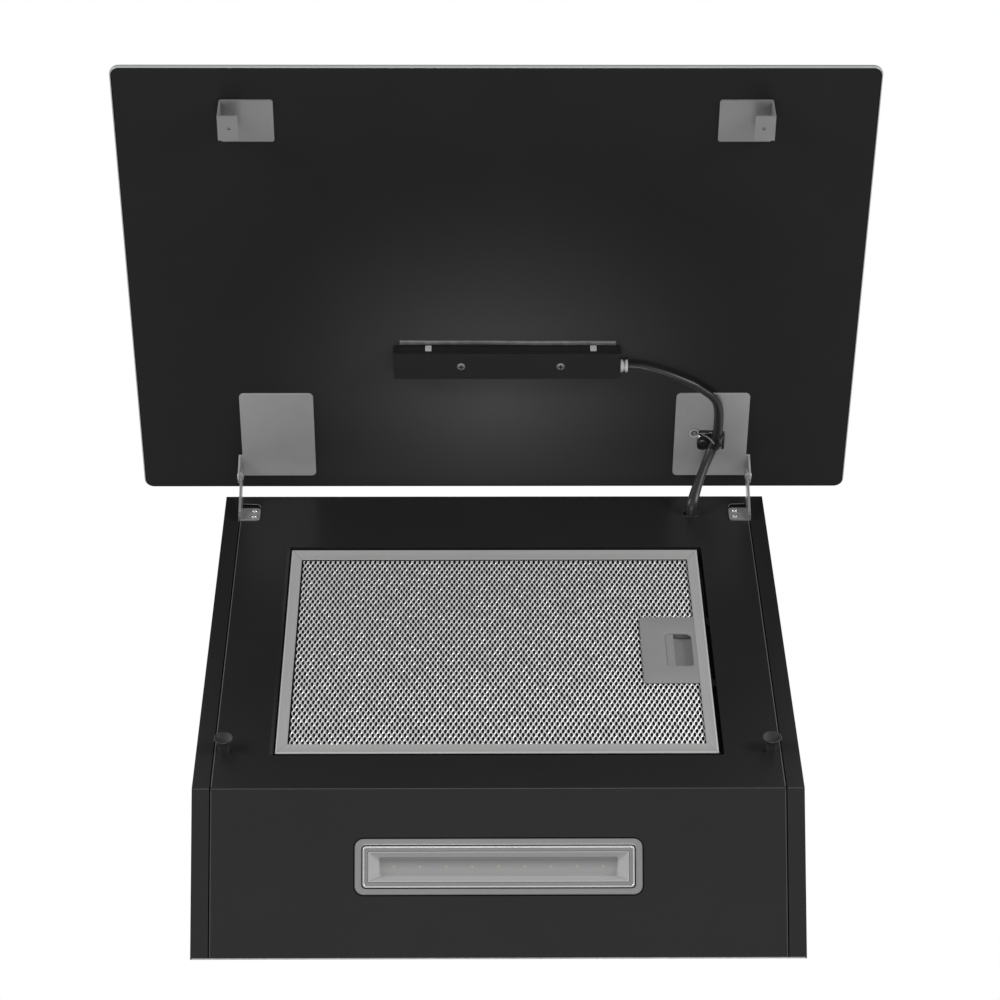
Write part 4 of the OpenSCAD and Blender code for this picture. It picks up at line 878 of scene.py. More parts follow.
@dataclass
class GreaseFilter:
    """Filter with a mitred frame, expanded mesh, handle plate and sliding latch."""

    width: float = 336.8
    length: float = 275.6
    start: float = 44.5
    aside: float = -0.65
    top: float = -1.0
    back: float = -10.0
    lips: tuple[float, float, float, float] = (11.5, 9.0, 14.1, 9.0)
    mesh_middle: float = 181.5
    mesh_half: Pair = (158.3, 127.0)
    sheet: float = 0.8
    mitre_gap: float = 0.10
    mesh_level: float = -2.55
    strand_pitch: float = 2.05
    strand_width: float = 0.99
    strand_depth: float = 0.38
    strand_tilt: float = -25.0
    cross_waist: float = 0.45
    cross_sink: float = 0.3
    bond_flat: float = 2.0
    bond_period: float = 9.4
    handle_x: Pair = (115.2, 158.7)
    handle_s: Pair = (133.5, 222.5)
    window_x: Pair = (134.5, 155.5)
    window_s: Pair = (156.3, 200.3)
    tongue_s: Pair = (136.8, 219.8)
    tongue_x: float = 151.4
    tongue_span: Pair = (-4.7, -3.1)
    tab_x: float = -169.9
    tab_span: Pair = (-6.3, -4.7)
    slit_x: Pair = (-2.5, 1.0)
    slit_half: float = 4.8
    slit_level: Pair = (-5.0, -2.8)
    dark_sides: tuple[int, ...] = (0, 11, 12, 13, 14, 16, 17, 18)
    bead_sides: tuple[int, ...] = (7, 8, 9, 10)
    strand_crease: float = 50.0
    cell_marks: tuple[float, ...] = (0.0, 0.165, 0.25, 0.335, 0.5, 0.665, 0.75, 0.835)
    tilt_jitter: float = 0.14
    swing_jitter: float = 0.06
    seed: int = 11
    plate_lap: float = 1.5
    dish_sheet: float = 0.8

    @property
    def middle(self) -> float:
        """Distance of the filter's middle from the fold."""
        return self.start + self.length / 2

    def bar_profile(self, lip: float) -> np.ndarray:
        """Folded profile of one bar, as (distance inside the outer edge, height).

        Args:
            lip: Width of the bar's front.

        Returns:
            Array (19, 2), from the lip over the front to the outer edge, and back inside.
        """
        t, b, sheet = self.top, self.back, self.sheet
        return np.array([
            (lip, t - sheet - 0.6), (lip, t - 0.42), (lip - 0.3, t - 0.12), (lip - 0.8, t),
            (lip - 1.3, t), (lip - 1.7, t - 0.1), (1.9, t - 0.1), (1.3, t), (0.9, t - 0.02),
            (0.42, t - 0.16), (0.12, t - 0.45), (0.0, t - 0.8), (0.9, t - 1.0), (0.9, b + 0.3),
            (1.2, b), (lip, b), (lip, b + sheet), (sheet + 0.9, b + sheet),
            (sheet + 0.9, t - sheet - 0.6)])

    def build_frame(self) -> None:
        """Four bars of one folded profile whose ends meet along the mitres.

        A point of a bar's profile runs from one neighbour's matching point to the
        other's, so each mitre joins the outer corner to the inner one.
        """
        points, faces, slots = [], [], []
        kinds = np.zeros(len(self.bar_profile(self.lips[0])), dtype=int)
        # painted shade on the bars' walls and backs
        kinds[list(self.dark_sides)] = 1
        # painted highlight on the outer bead
        kinds[list(self.bead_sides)] = 2
        for turn, (c, s) in enumerate(((1, 0), (0, 1), (-1, 0), (0, -1))):
            across, along = (self.width, self.length)[::-1 if turn % 2 else 1]
            profile = self.bar_profile(self.lips[turn])
            beside = (self.bar_profile(self.lips[(turn + side) % 4]) for side in (1, -1))
            reach = [across / 2 - other[:, 0] - self.mitre_gap for other in beside]
            bar = np.stack([np.column_stack([x, profile[:, 0] - along / 2, profile[:, 1]])
                            for x in (reach[0], -reach[1])])
            bar = bar @ np.array([(c, s, 0), (-s, c, 0), (0, 0, 1)])
            faces += loft(bar, first=sum(len(p) for p in points))
            # the mitre ends carry painted shade too
            slots += [*kinds, 1, 1]
            points.append(bar.reshape(-1, 3) + (self.aside, self.middle, 0))
        made = piece("filter_frame_bars", FILTER_FACE.world(np.concatenate(points)), faces,
                     (FILTER_STEEL, FILTER_PAINTED_SHADE, FILTER_BEAD_HIGHLIGHT), Body.HOOD,
                     ("filter_frame",), slots)
        edge = self.aside + self.width / 2
        carve(made, [box_corners(FILTER_FACE, (edge + self.slit_x[0], edge + self.slit_x[1]),
                                 (s - self.slit_half, s + self.slit_half), self.slit_level)
                     for s in self.tongue_s])
        made.data.set_sharp_from_angle(angle=math.radians(CREASE_DEG))

    def build_tabs(self) -> None:
        """Two fixed tabs at the left side of the frame, as rounded plates in painted shade."""
        stacks = [slab(5.6, 9.0, 1.0, self.tab_span, (self.tab_x, s), (0.4, 0.6))
                  for s in self.tongue_s]
        build_stacks("filter_tabs", stacks, FILTER_FACE, FILTER_PAINTED_SHADE, Body.HOOD)

    def strand(self, index: np.ndarray, s: np.ndarray, jitter: np.ndarray) -> np.ndarray:
        """Corners of the ribbons of expanded metal.

        Ribbon j runs up the face at x = j * pitch, swings by a * c(s) and dips by
        k * c(s), where c is a clipped cosine that changes sign from one ribbon to
        the next, so neighbours meet at the bonds and part at the holes between them.
        Its rectangular section is turned by the tilt about the run of the ribbon,
        and narrows and sinks a little where it crosses from one bond to the next.

        Args:
            index: Numbers of the ribbons.
            s: Places along the face, from the mesh's middle.
            jitter: Random values (ribbons, stations, 2) for the tilt and the swing.

        Returns:
            Array (ribbons, stations, 4, 3) of local points.
        """
        lean = math.radians(self.strand_tilt)
        tilt = lean + self.tilt_jitter * jitter[..., 0]
        swing = (self.strand_pitch - self.strand_width * math.cos(lean)) / 2
        dip = self.strand_width / 2 * math.sin(lean)
        sign = np.where(index % 2 == 0, 1.0, -1.0)[:, None]
        wave = np.cos(2 * math.pi * s / self.bond_period)[None, :]
        c = sign * np.clip(self.bond_flat * wave, -1, 1) * (1 + self.swing_jitter * jitter[..., 1])
        cross = 1 - np.abs(c)[..., None]
        x = index[:, None] * self.strand_pitch + swing * c
        h = self.mesh_level - dip * c - self.cross_sink * cross[..., 0]
        u = np.array([1, 1, -1, -1]) * self.strand_width / 2 * (1 - self.cross_waist * cross)
        v = np.array([-1, 1, 1, -1]) * self.strand_depth / 2
        ct, st = np.cos(tilt)[..., None], np.sin(tilt)[..., None]
        corner_x = x[..., None] + u * ct - v * st
        corner_h = h[..., None] + u * st + v * ct
        corner_s = np.broadcast_to(s[None, :, None] + self.mesh_middle, corner_x.shape)
        return np.stack([corner_x, corner_s, corner_h], axis=-1)

    def build_mesh(self) -> None:
        """Two halves of the expanded mesh, each a set of ribbons that stops at the handle plate."""
        half_w, half_l = self.mesh_half
        count, cells = int(half_w / self.strand_pitch), half_l / self.bond_period
        turns = np.arange(math.floor(-cells), math.ceil(cells))
        stations = ((turns[:, None] + self.cell_marks) * self.bond_period).ravel()
        stations = stations[np.abs(stations) < half_l]
        rng = np.random.default_rng(self.seed)
        (x0, _), (s0, s1), lap = self.handle_x, self.handle_s, self.plate_lap
        for side, index in zip(Side, (np.arange(-count, 1), np.arange(1, count + 1))):
            jitter = np.clip(rng.normal(size=(len(index), len(stations), 2)), -2, 2)
            jitter = (jitter + np.roll(jitter, 1, axis=1) + np.roll(jitter, 2, axis=1)) / 2
            corners = self.strand(index, stations, jitter)
            x, s = corners[:, :, 0, 0], corners[:, :, 0, 1]
            blocked = (x > x0 + lap) & (s > s0 + lap) & (s < s1 - lap)
            runs, faces, first = [], [], 0
            for ribbon, hidden in zip(corners, blocked):
                edges = np.flatnonzero(np.diff(np.concatenate([[1], hidden.astype(int), [1]])))
                for a, b in zip(edges[::2], edges[1::2]):
                    if b - a > 2:
                        run = ribbon[a:b].reshape(-1, 3)
                        ends = np.array([[3, 2, 1, 0], [len(run) - 4 + k for k in range(4)]])
                        faces += [grid_faces(b - a, 4) + first, ends + first]
                        runs.append(run)
                        first += len(run)
            piece(f"filter_mesh_{side.word}", FILTER_FACE.world(np.concatenate(runs)),
                  np.concatenate(faces), (MESH_ALLOY,), Body.HOOD, ("filter_mesh",),
                  sharp_deg=self.strand_crease)

    def build_handle(self) -> None:
        """Handle plate: a closed section carried round between the window and the outer edge."""
        t = self.top

        def edge(x: Pair, s: Pair, radii: tuple[float, ...], inset: float, h: float) -> np.ndarray:
            """Rounded rectangle between limits, drawn in by an inset, at a height."""
            flat = outline(x[1] - x[0] - 2 * inset, s[1] - s[0] - 2 * inset, radii, 7)
            return np.insert(flat + (sum(x) / 2, sum(s) / 2), 2, h, axis=1)

        outer = [edge(self.handle_x, self.handle_s, (0.7, 3.2, 3.2, 0.7), inset, t - down)
                 for inset, down in ((0.0, 0.8), (0.0, 0.3), (0.1, 0.08), (0.35, 0.0))]
        window = [edge(self.window_x, self.window_s, (5.0, 3.6, 2.6, 3.0), -grown, t - down)
                  for grown, down in ((0.9, 0.0), (0.45, 0.08), (0.12, 0.32), (0.0, 0.75),
                                      (0.0, 1.5), (0.6, 1.5), (0.6, 0.8))]
        stack = np.stack([*outer, *window][::-1])
        piece("handle_plate", FILTER_FACE.world(stack), loft(stack, closed=True), (HANDLE_GREY,),
              Body.HOOD, ("filter_handle",))

    def build_latch(self) -> None:
        """Slider under the plate: a swept dish with a finger lip, its end walls, bar and tongues.

        The dish's top is a line across x: flat lip, drop, and a floor that sinks
        slightly and rises to the right; the same line one sheet deeper closes the section.
        The lip ends short of the window's upper edge.
        """
        (x0, x1), (t0, t1) = self.window_x, self.tongue_s
        u, drop = np.linspace(0, 1, 14), x0 + 7.4
        floor = np.column_stack([drop + (x1 + 4.0 - drop) * u,
                                 -6.8 - 0.7 * np.sin(math.pi * u) + 0.3 * u**3])
        lip = np.array([(-1.8, -2.6), (-1.4, -2.05), (-0.8, -1.95), (5.9, -1.95), (6.5, -2.1),
                        (6.8, -2.6), (7.0, -3.4)]) + (x0, 0)
        top = np.vstack([lip, floor])
        section = np.vstack([top, top[::-1] - (0, self.dish_sheet)])[::-1]
        s0, s1 = self.window_s[0] - 1.6, self.window_s[1] + 0.4
        short = np.where(section[:, 0] < x0 + 6.9, 1.0, 0.0)
        dish = np.stack([np.column_stack([section[:, 0], s, section[:, 1]])
                         for s in (s1 - short, s0 - 0 * short)])
        wall = rings([(x1 - x0 + 6 - dw, 1.5 - dl, r, h) for dw, dl, r, h in (
            (0.0, 0.2, 0.3, -8.2), (0.0, 0.0, 0.4, -7.9), (0.0, 0.0, 0.4, -2.3),
            (0.6, 0.4, 0.3, -1.95))], ((x0 + x1) / 2 + 2.0, s1 + 0.75), 3)
        bars = [slab(8.0, t1 - t0 + 9.0, 0.9, self.tongue_span, (x0 - 4.0, (t0 + t1) / 2))]
        bars += [slab(43.2, 9.0, 0.9, self.tongue_span, (self.tongue_x, s)) for s in self.tongue_s]
        for name, stacks, finish in (("latch_dish", [dish], LATCH_GREY),
                                     ("latch_end_wall", [wall], SHADED_GREY),
                                     # the tongues are in painted shade
                                     ("latch_tongues", bars, FILTER_PAINTED_SHADE)):
            build_stacks(name, stacks, FILTER_FACE, finish, Body.LATCH,
                         ("latch_slider",))

    def build(self) -> None:
        """Builds the filter's pieces in order."""
        self.build_frame()
        self.build_tabs()
        self.build_mesh()
        self.build_handle()
        self.build_latch()


@dataclass
class LampUnit:
    """Lamp bar with a stepped bezel round a sunk lens."""

    centre: Pair = (0.0, 68.0)
    rim: Pair = (214.0, 41.4)
    ring: Pair = (202.2, 30.8)
    lens: Pair = (194.2, 22.8)
    dark_steps: tuple[int, ...] = (0, 1, 8, 9, 23)
    bead_steps: tuple[int, int] = (10, 15)

    def build_bezel(self) -> None:
        """A closed section carried round a rounded rectangle: flat rim, groove and raised ring.

        Each step of the section grows one of the three outlines by an amount, and has a
        corner radius and a height; the last three close it behind the face.
        """
        rim, ring, lens = self.rim, self.ring, self.lens
        steps = (
            (rim, 1.7, 7.35, 0.0), (rim, 1.7, 7.35, 0.15), (rim, 0.0, 6.5, 0.2),
            (rim, 0.0, 6.5, 0.5), (rim, -0.5, 6.3, 1.0), (rim, -1.3, 5.9, 1.35),
            (rim, -2.4, 5.4, 1.4), (ring, 2.4, 3.4, 1.4), (ring, 1.6, 3.1, 1.2),
            (ring, 0.9, 2.8, 0.5), (ring, 0.2, 2.6, 0.5), (ring, 0.0, 2.5, 1.5),
            (ring, -0.4, 2.4, 2.2), (ring, -1.2, 2.1, 2.55), (ring, -2.0, 1.8, 2.6),
            (ring, -2.9, 1.5, 2.35), (ring, -3.4, 1.4, 1.8), (lens, 2.2, 0.9, 1.6),
            (lens, 0.8, 0.5, 1.6), (lens, 0.3, 0.4, 1.35), (lens, 0.1, 0.35, 0.7),
            (lens, 0.1, 0.35, -12.0), (ring, -2.0, 2.0, -12.0), (ring, -2.0, 2.0, 0.0))
        stack = rings([(w + grow, l + grow, r, h) for (w, l), grow, r, h in steps], self.centre)
        band = np.zeros(stack.shape[:2], dtype=int)
        # painted shade on the black ring round the rim, in the groove and behind
        band[list(self.dark_steps)] = 1
        # painted highlight on the ring's bead
        band[slice(*self.bead_steps)] = 2
        piece("lamp_bezel_ring", LAMP_FACE.world(stack), loft(stack, closed=True),
              (LAMP_SILVER, PAINTED_SHADE_BLACK, LAMP_BEAD_HIGHLIGHT), Body.HOOD, ("lamp_bezel",),
              band.ravel())

    def build_lens(self) -> None:
        """Sunk tray: rounded rectangles from the back, over the rim and down to the floor."""
        width, length = self.lens
        stack = rings([(width - dw, length - dl, r, h) for dw, dl, r, h in (
            (0.1, 0.1, 0.5, -7.5), (0.1, 0.1, 0.5, 0.9), (0.5, 0.5, 0.6, 1.2),
            (1.4, 1.4, 0.7, 1.25), (2.0, 2.0, 0.8, 1.0), (2.6, 2.4, 0.9, 0.4),
            (15.5, 8.0, 1.3, -4.6), (17.0, 9.0, 1.6, -5.5), (19.0, 10.4, 1.5, -5.95),
            (22.0, 13.0, 1.2, -6.0))], self.centre)
        piece("lamp_lens_tray", LAMP_FACE.world(stack), loft(stack), (LAMP_LENS,), Body.HOOD,
              ("lamp_lens",))

    def build(self) -> None:
        """Builds bezel and lens."""
        self.build_bezel()
        self.build_lens()


@dataclass
class GlassPanel:
    """Black glass with a polished pencil edge, painted inside, and the plates glued to it."""

    width: float = 600.0
    start: float = -25.0
    length: float = 422.0
    thickness: float = 4.0
    radius: float = 8.0
    coat_inset: float = 0.9
    edge_round: float = 0.55
    corner_steps: int = 8
    pale_rows: tuple[int, int] = (5, 9)
    plate_edge: float = 0.4

    def build_glass(self) -> None:
        """Rounded rectangles along a half-round edge from the front face to the inner face.

        The outer half of the edge is black like the front, the inner half pale: the
        polished glass's own tint, lightened as a painted highlight. The edge by the
        hinges is black all over.
        """
        turn = np.linspace(-math.pi / 2, math.pi / 2, 9)
        r, steps = self.thickness / 2, self.corner_steps
        mid, inset = GLASS_INNER - r, self.edge_round * r * (1 - np.cos(turn))
        rows = [(self.coat_inset, mid - r), *zip(inset, mid + r * np.sin(turn)),
                (self.coat_inset + inset[-1], mid + r)]
        stack = rings([(self.width - 2 * d, self.length - 2 * d, max(self.radius - d, 1.0), level)
                       for d, level in rows], (0, self.start + self.length / 2), steps)
        band = np.full((len(rows) - 1, stack.shape[1]), 2)
        band[slice(*self.pale_rows)] = 0
        band[:, 3 * (steps + 1) - 1] = 2
        piece("glass_pane", GLASS_FACE.world(stack), loft(stack),
              (GLASS_RIM, GLASS_COAT, GLASS_FRONT), Body.GLASS, ("glass",),
              np.concatenate([band.ravel(), [2, 1]]), 40)

    def build(self) -> None:
        """Builds the pane and rounds its plates and brackets."""
        self.build_glass()
        for side in Side:
            soften(f"hinge_plate_{side.word}", self.plate_edge, 3)
            soften(f"catch_bracket_{side.word}", self.plate_edge, 3, BRACKET_STEEL)


@dataclass
class HingesAndCatches:
    """Hinge arms with pins, washers and screws, and the catch cups."""

    arm_edge: float = 0.5
    soft_edges: tuple[tuple[str, float, int], ...] = (
        ("arm_screws", 0.3, 3), ("lead_grommet", 0.2, 2), ("hinge_washers", 0.1, 2))
    cup_place: Pair = (207.5, 47.8)
    cup_profile: tuple[Pair, ...] = (
        (4.7, 0.0), (4.7, 4.6), (4.9, 7.4), (5.7, 9.1), (6.9, 10.2), (7.3, 10.8), (7.2, 11.2),
        (6.8, 11.4), (6.2, 11.25), (4.6, 10.0), (2.4, 9.5), (0.1, 9.4))
    pin_x: Pair = (214.0, 217.9)
    pin_r: float = 2.5
    pin_head: tuple[Pair, ...] = ((1.0, 0.4), (0.95, 2.0), (0.6, 2.9), (0.0, 3.1))
    slot_rim: tuple[Triple, ...] = (
        (212.5, 388.2, 0.15), (207.0, 388.0, 0.15), (202.5, 387.8, 0.15), (200.3, 387.2, 0.15),
        (199.2, 385.4, 0.15), (198.7, 383.3, 0.15))
    rim_r: float = 0.42

    def build(self) -> None:
        """Rounds the edges of each part, and builds the cups, pin heads and slot rims."""
        for node, edge, segments in self.soft_edges:
            soften(node, edge, segments)
        for side in Side:
            soften(f"hinge_arm_{side.word}", self.arm_edge, 3)
            cup = rings([(2 * r, 2 * r, r * 0.999, h) for r, h in self.cup_profile],
                        (side.value * self.cup_place[0], self.cup_place[1]), 8)
            build_stacks(f"cup_{side.word}", [cup], FILTER_FACE, RUBBER, Body.HOOD,
                         (f"catch_cup_{side.word}",))
        self.build_pins()
        self.build_rims()

    def build_pins(self) -> None:
        """Both hinge pins with a riveted head at each end, turned about X."""
        pins = []
        for x0, x1 in (self.pin_x, (-self.pin_x[1], -self.pin_x[0])):
            pins.append(turned([*((x0 - out, r) for out, r in self.pin_head),
                                (x0, self.pin_r), (x1, self.pin_r),
                                *((x1 + out, r) for out, r in self.pin_head[::-1])]))
        build_stacks("hinge_pin_heads", pins, GLASS_FACE, ARM_STEEL, Body.HOOD,
                     ("hinge_pins",))

    def build_rims(self) -> None:
        """Thin bright rods along a curve where the arms leave their slots: painted highlights on the slots'
        edges.
        """
        rims = []
        for side in (Side.RIGHT, Side.LEFT):
            path = stroke(np.array(self.slot_rim) * (side.value, 1, 1), 5)
            rims.append(sweep(path[::side.value], self.rim_r, self.rim_r, OUTWARDS, 8))
        build_stacks("arm_slot_rims", rims, FILTER_FACE, ARM_STEEL, Body.HOOD)


@dataclass
class TouchControl:
    """Control box on the glass with its strip, gland, clip and lead."""

    cover_edge: float = 0.5
    gland_edge: float = 0.3
    lead_r: float = 2.95
    sleeve: Pair = (4.2, 3.0)
    on_glass: tuple[Triple, ...] = (
        (100, 110.5, 6), (106, 110.5, 6), (112, 110.5, 6), (121, 109.8, 6.4), (131, 107.4, 7),
        (144, 102.8, 7.6), (156, 97.4, 8), (166, 92.0, 8), (174.5, 85.4, 8), (181.3, 79.6, 7.8),
        (185.8, 73.2, 7.6), (188.0, 65, 7.3), (188.7, 56, 7), (188.8, 48, 6.6), (188.6, 40, 6.2),
        (188.2, 34, 6.2), (187, 28, 6.2), (184.2, 21.8, 7.8), (180.0, 15.6, 14.6),
        (176.1, 10.1, 22.6), (172.4, 4.7, 30.8), (169.2, -0.8, 38.9), (167.0, -5.8, 46.2))
    strip_x: Pair = (-79.0, 100.0)
    strip_edges: tuple[Triple, ...] = (
        (-79, 128.3, 132.9), (-57, 128.5, 132.4), (-10, 128.9, 132.5), (33, 127.8, 131.9),
        (73, 127.9, 132.1), (100, 127.7, 131.8))
    strip_h: float = 1.15
    hooks_t: float = 128.05
    hooks_x: Pair = (-55.25, 81.25)
    screws_x: Pair = (-28.2, 54.2)
    screws_t: float = 114.5
    screw_size: Triple = (3.3, 1.1, 2.3)
    cover_h: float = -3.5
    in_body: tuple[Triple, ...] = ((166.2, 371.2, 2), (165.9, 371.0, -4), (165.5, 372.4, -10))
    round_to: int = 8
    flat_from: int = 11
    lean_between: tuple[int, int] = (2, 10)
    clip_end: int = 16
    tail: tuple[Triple, ...] = (
        (165.5, -341, 94), (165.5, -331, 92.4), (165.5, -322, 92), (165.5, -312, 92))
    plate: float = 1.5
    saddle_line: tuple[Triple, ...] = (
        (188.4, 35.6, 6.2), (188.0, 32.0, 6.2), (187.0, 28.0, 6.2), (186.0, 24.5, 6.2))
    pads: tuple[tuple[float, ...], ...] = (
        (183.4, 30.2, 20.0, 16.0, 4.0, 4.4), (176.5, 25.4, 9.6, 11.0, 4.2, 6.2),
        (177.2, 36.2, 9.0, 4.4, 1.6, 5.6), (193.2, 30.6, 2.9, 14.0, 1.2, 9.6))
    strap_line: tuple[Triple, ...] = (
        (175.2, 37.6, 6.2), (179.6, 36.3, 7.9), (182.9, 34.3, 9.6), (185.8, 31.2, 11.1))
    flange_line: tuple[Triple, ...] = (
        (192.1, 36.8, 9.3), (192.0, 31.0, 9.6), (192.0, 25.0, 9.3))
    ring_place: Pair = (169.2, 35.8)
    ring_profile: tuple[Pair, ...] = (
        (4.3, 0.0), (4.3, 1.2), (4.0, 1.6), (3.5, 1.6), (3.1, 1.2), (2.3, 0.6), (1.2, 0.4),
        (1.2, 0.0))
    ring_pale: tuple[int, ...] = (0, 4, 5, 6, 7)
    stud_place: Triple = (173.3, 34.5, 4.6)
    stud_size: Triple = (1.5, 1.4, 0.2)

    def lifted(self, points: tuple[tuple[float, ...], ...] | tuple[float, ...]) -> np.ndarray:
        """Points whose heights are given above the glass's inner face, in the glass's axes."""
        return np.array(points) + (0, 0, GLASS_INNER)

    def build_lead(self) -> None:
        """Tube along the lead's route whose section changes from round to a flat sleeve.

        The wide axis turns smoothly from the glass's normal to X along the bend.
        """
        centres = np.vstack([GLASS_FACE.world(self.lifted(self.on_glass)),
                             FILTER_FACE.world(self.in_body), HERE.world(self.tail)])
        n, clip, knots = len(self.on_glass), self.clip_end, np.arange(len(centres))
        (wide, thin), r = self.sleeve, self.lead_r
        stops = [0, self.round_to, self.flat_from, clip, clip + 1, clip + 3, n - 1, n, n + 2]
        a = np.interp(knots, stops, [r, r, wide - 0.3, wide, wide, wide - 0.5, wide + 0.6,
                                     wide + 0.6, r])
        b = np.interp(knots, stops, [r, r, thin + 0.3, thin + 0.3, thin, thin, thin, thin, r])
        lean = np.interp(knots, self.lean_between, [0, 1])
        path = stroke(np.column_stack([centres, a * MM, b * MM, lean]), 6)
        w = path[:, 5:6]
        hint = (1 - w) * np.asarray(GLASS_FACE.out) + w * ACROSS
        ring = sweep(path[:, :3], path[:, 3], path[:, 4], hint)
        made = piece("lead_jacket", ring, loft(ring), (LEAD_JACKET,), None,
                     ("control_lead",))
        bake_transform(made, Body.HOOD.value, Body.GLASS.value, start=tuple(centres[n]),
                 end=tuple(centres[clip]))

    def build_clip(self) -> None:
        """Clip on the hinge plate: foot, saddle over the lead, flange, lobe, ring tab and strap.

        A pad is a stack of rounded rectangles that narrow near its top, from its (x, t, width,
        length, radius, top). The saddle, strap and flange edge are ellipses along curves.
        """
        base = GLASS_INNER + self.plate
        black = [rings([(w, l, r, base), (w, l, r, GLASS_INNER + top - 1.0),
                        (w - 0.6, l - 0.6, r - 0.3, GLASS_INNER + top - 0.3),
                        (w - 2.0, l - 2.0, max(r - 1.0, 0.2), GLASS_INNER + top)], (x, t), 5)
                 for x, t, w, l, r, top in self.pads]
        path = stroke(self.lifted(self.saddle_line), 5)
        ends = np.vstack([path[:1], path, path[-1:]])
        ends[0] -= (path[1] - path[0]) * 0.3
        ends[-1] += (path[-1] - path[-2]) * 0.3
        wide = np.pad(np.full(len(path), 5.4), 1, constant_values=4.6)
        black.append(sweep(ends, wide, wide - 0.6, ACROSS, 28))
        # thin grey rods along the strap and the flange's edge: painted highlights
        pale = [sweep(stroke(self.lifted(self.strap_line), 5), 0.7, 0.4, ACROSS, 10),
                sweep(stroke(self.lifted(self.flange_line), 4), 0.4, 0.4, ACROSS, 8)]
        stud = screw_head(*self.stud_size, tuple(self.lifted(self.stud_place)))
        for name, stacks, finish, crease in (("clip_body", black, CLIP_PLASTIC, CREASE_DEG),
                                             ("clip_strap", pale, CLIP_PAINTED_LIGHT, CREASE_DEG),
                                             ("clip_stud", [stud], BRIGHT_STEEL, 60)):
            build_stacks(name, stacks, GLASS_FACE, finish, Body.GLASS,
                         ("lead_clip",), crease)
        (x, t), (cos, sin) = self.ring_place, circle(40)
        ring = np.stack([np.column_stack([x + r * cos, t + r * 1.05 * sin, np.full(40, base + h)])
                         for r, h in self.ring_profile])
        band = np.zeros(ring.shape[:2], dtype=int)
        # painted shade on the ring's outer wall and round its hole
        band[list(self.ring_pale)] = 1
        piece("clip_ring", GLASS_FACE.world(ring), loft(ring, closed=True), (CLIP_RING, CLIP_PAINTED_LIGHT),
              Body.GLASS, ("lead_clip",), band.ravel())

    def build_strip(self) -> None:
        """Retaining strip beside the box, slightly bent, and its two hooks up the box's side.

        The strip's section at x is a flattened half ellipse between two edges that wander in t,
        and its height sways with two sines of x.
        """
        x = np.linspace(self.strip_x[0], self.strip_x[1], 46)
        stops, *edges = np.transpose(self.strip_edges)
        low, high = (np.interp(x, stops, edge) for edge in edges)
        turn = np.linspace(0, math.pi, 11)
        sway = 0.25 * np.sin(x / 3.1) + 0.2 * np.sin(x / 7.7 + 1)
        t = (low + high)[:, None] / 2 + ((high - low) / 2)[:, None] * np.cos(turn)
        h = GLASS_INNER + (self.strip_h + 0.3 * sway)[:, None] * np.sin(turn) ** 0.35
        stack = np.stack([np.broadcast_to(x[:, None], t.shape), t, h], axis=-1)
        hooks = [rings([(5.2, 0.9, 0.3, GLASS_INNER + 1.7), (5.2, 0.9, 0.3, GLASS_INNER + 8.2),
                        (4.8, 0.6, 0.2, GLASS_INNER + 8.6)], (place, self.hooks_t), 3)
                 for place in self.hooks_x]
        for name, stacks, finish, crease in (
                ("control_strip_plate", [stack], STRIP_STEEL, 50),
                ("control_strip_hooks", hooks, HOOK_STEEL_LIT, CREASE_DEG)):
            build_stacks(name, stacks, GLASS_FACE, finish, Body.GLASS,
                         ("control_strip",), crease)

    def build_screws(self) -> None:
        """Two domed screws in the box's cover, with painted shade filling their cross recesses."""
        level = self.cover_h
        heads = [screw_head(*self.screw_size, (x, self.screws_t, level)) for x in self.screws_x]
        bars = [rings([(w, l, 0.3, level + 0.5), (w, l, 0.3, level + h)], (x, self.screws_t), 3)
                for x in self.screws_x for w, l, h in ((3.9, 1.0, 1.02), (1.0, 3.9, 1.04))]
        for name, stacks, finish, crease in (
                ("control_screw_heads", heads, BOX_SCREW, 40),
                ("control_screw_crosses", bars, PAINTED_SHADE_BLACK, CREASE_DEG)):
            build_stacks(name, stacks, GLASS_FACE, finish, Body.GLASS,
                         ("control_box_screws",), crease)

    def build(self) -> None:
        """Builds the lead, strip and screws, and rounds the box, gland and clip."""
        self.build_lead()
        self.build_strip()
        self.build_screws()
        soften("control_box_cover", self.cover_edge, 3, BOX_PLASTIC)
        soften("control_gland", self.gland_edge, 3)
        self.build_clip()


@dataclass
class Outlet:
    """Duct spigot with its flaps and the mains gland on the top panel."""

    edge: float = 0.35

    def build(self) -> None:
        """Rounds the edges of each part."""
        for node, segments in (("outlet_spigot", 3), ("flap_front", 2), ("flap_rear", 2),
                               ("mains_gland", 3)):
            soften(node, self.edge, segments)


@dataclass
class InnerParts:
    """Parts inside the hood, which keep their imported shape."""

    def dress(self) -> int:
        """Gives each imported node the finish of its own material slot.

        Returns:
            Number of nodes dressed.
        """
        for name, node in frame["nodes"].items():
            for slot in node.material_slots:
                slot.material = SLOT_FINISH[SLOTS[name]].material()
        return len(frame["nodes"])


# ---------------------------------------------------------------- studio


@dataclass(frozen=True)
class SoftLamp:
    """A square soft lamp that faces a point."""

    name: str
    place: Triple
    target: Triple
    size: float
    watts: float

    def build(self) -> None:
        """Adds the lamp to the scene."""
        data = bpy.data.lights.new(self.name, "AREA")
        data.shape, data.size, data.energy = "SQUARE", self.size, self.watts
        made = bpy.data.objects.new(self.name, data)
        away = np.asarray(self.place) - np.asarray(self.target)
        away /= np.linalg.norm(away)
        side = np.cross((0.0, 0.0, 1.0) if abs(away[2]) < 0.95 else (0.0, 1.0, 0.0), away)
        side /= np.linalg.norm(side)
        turn = np.column_stack([side, np.cross(away, side), away])
        made.matrix_world = Matrix.Translation(self.place) @ Matrix(turn.tolist()).to_4x4()
        bpy.context.scene.collection.objects.link(made)


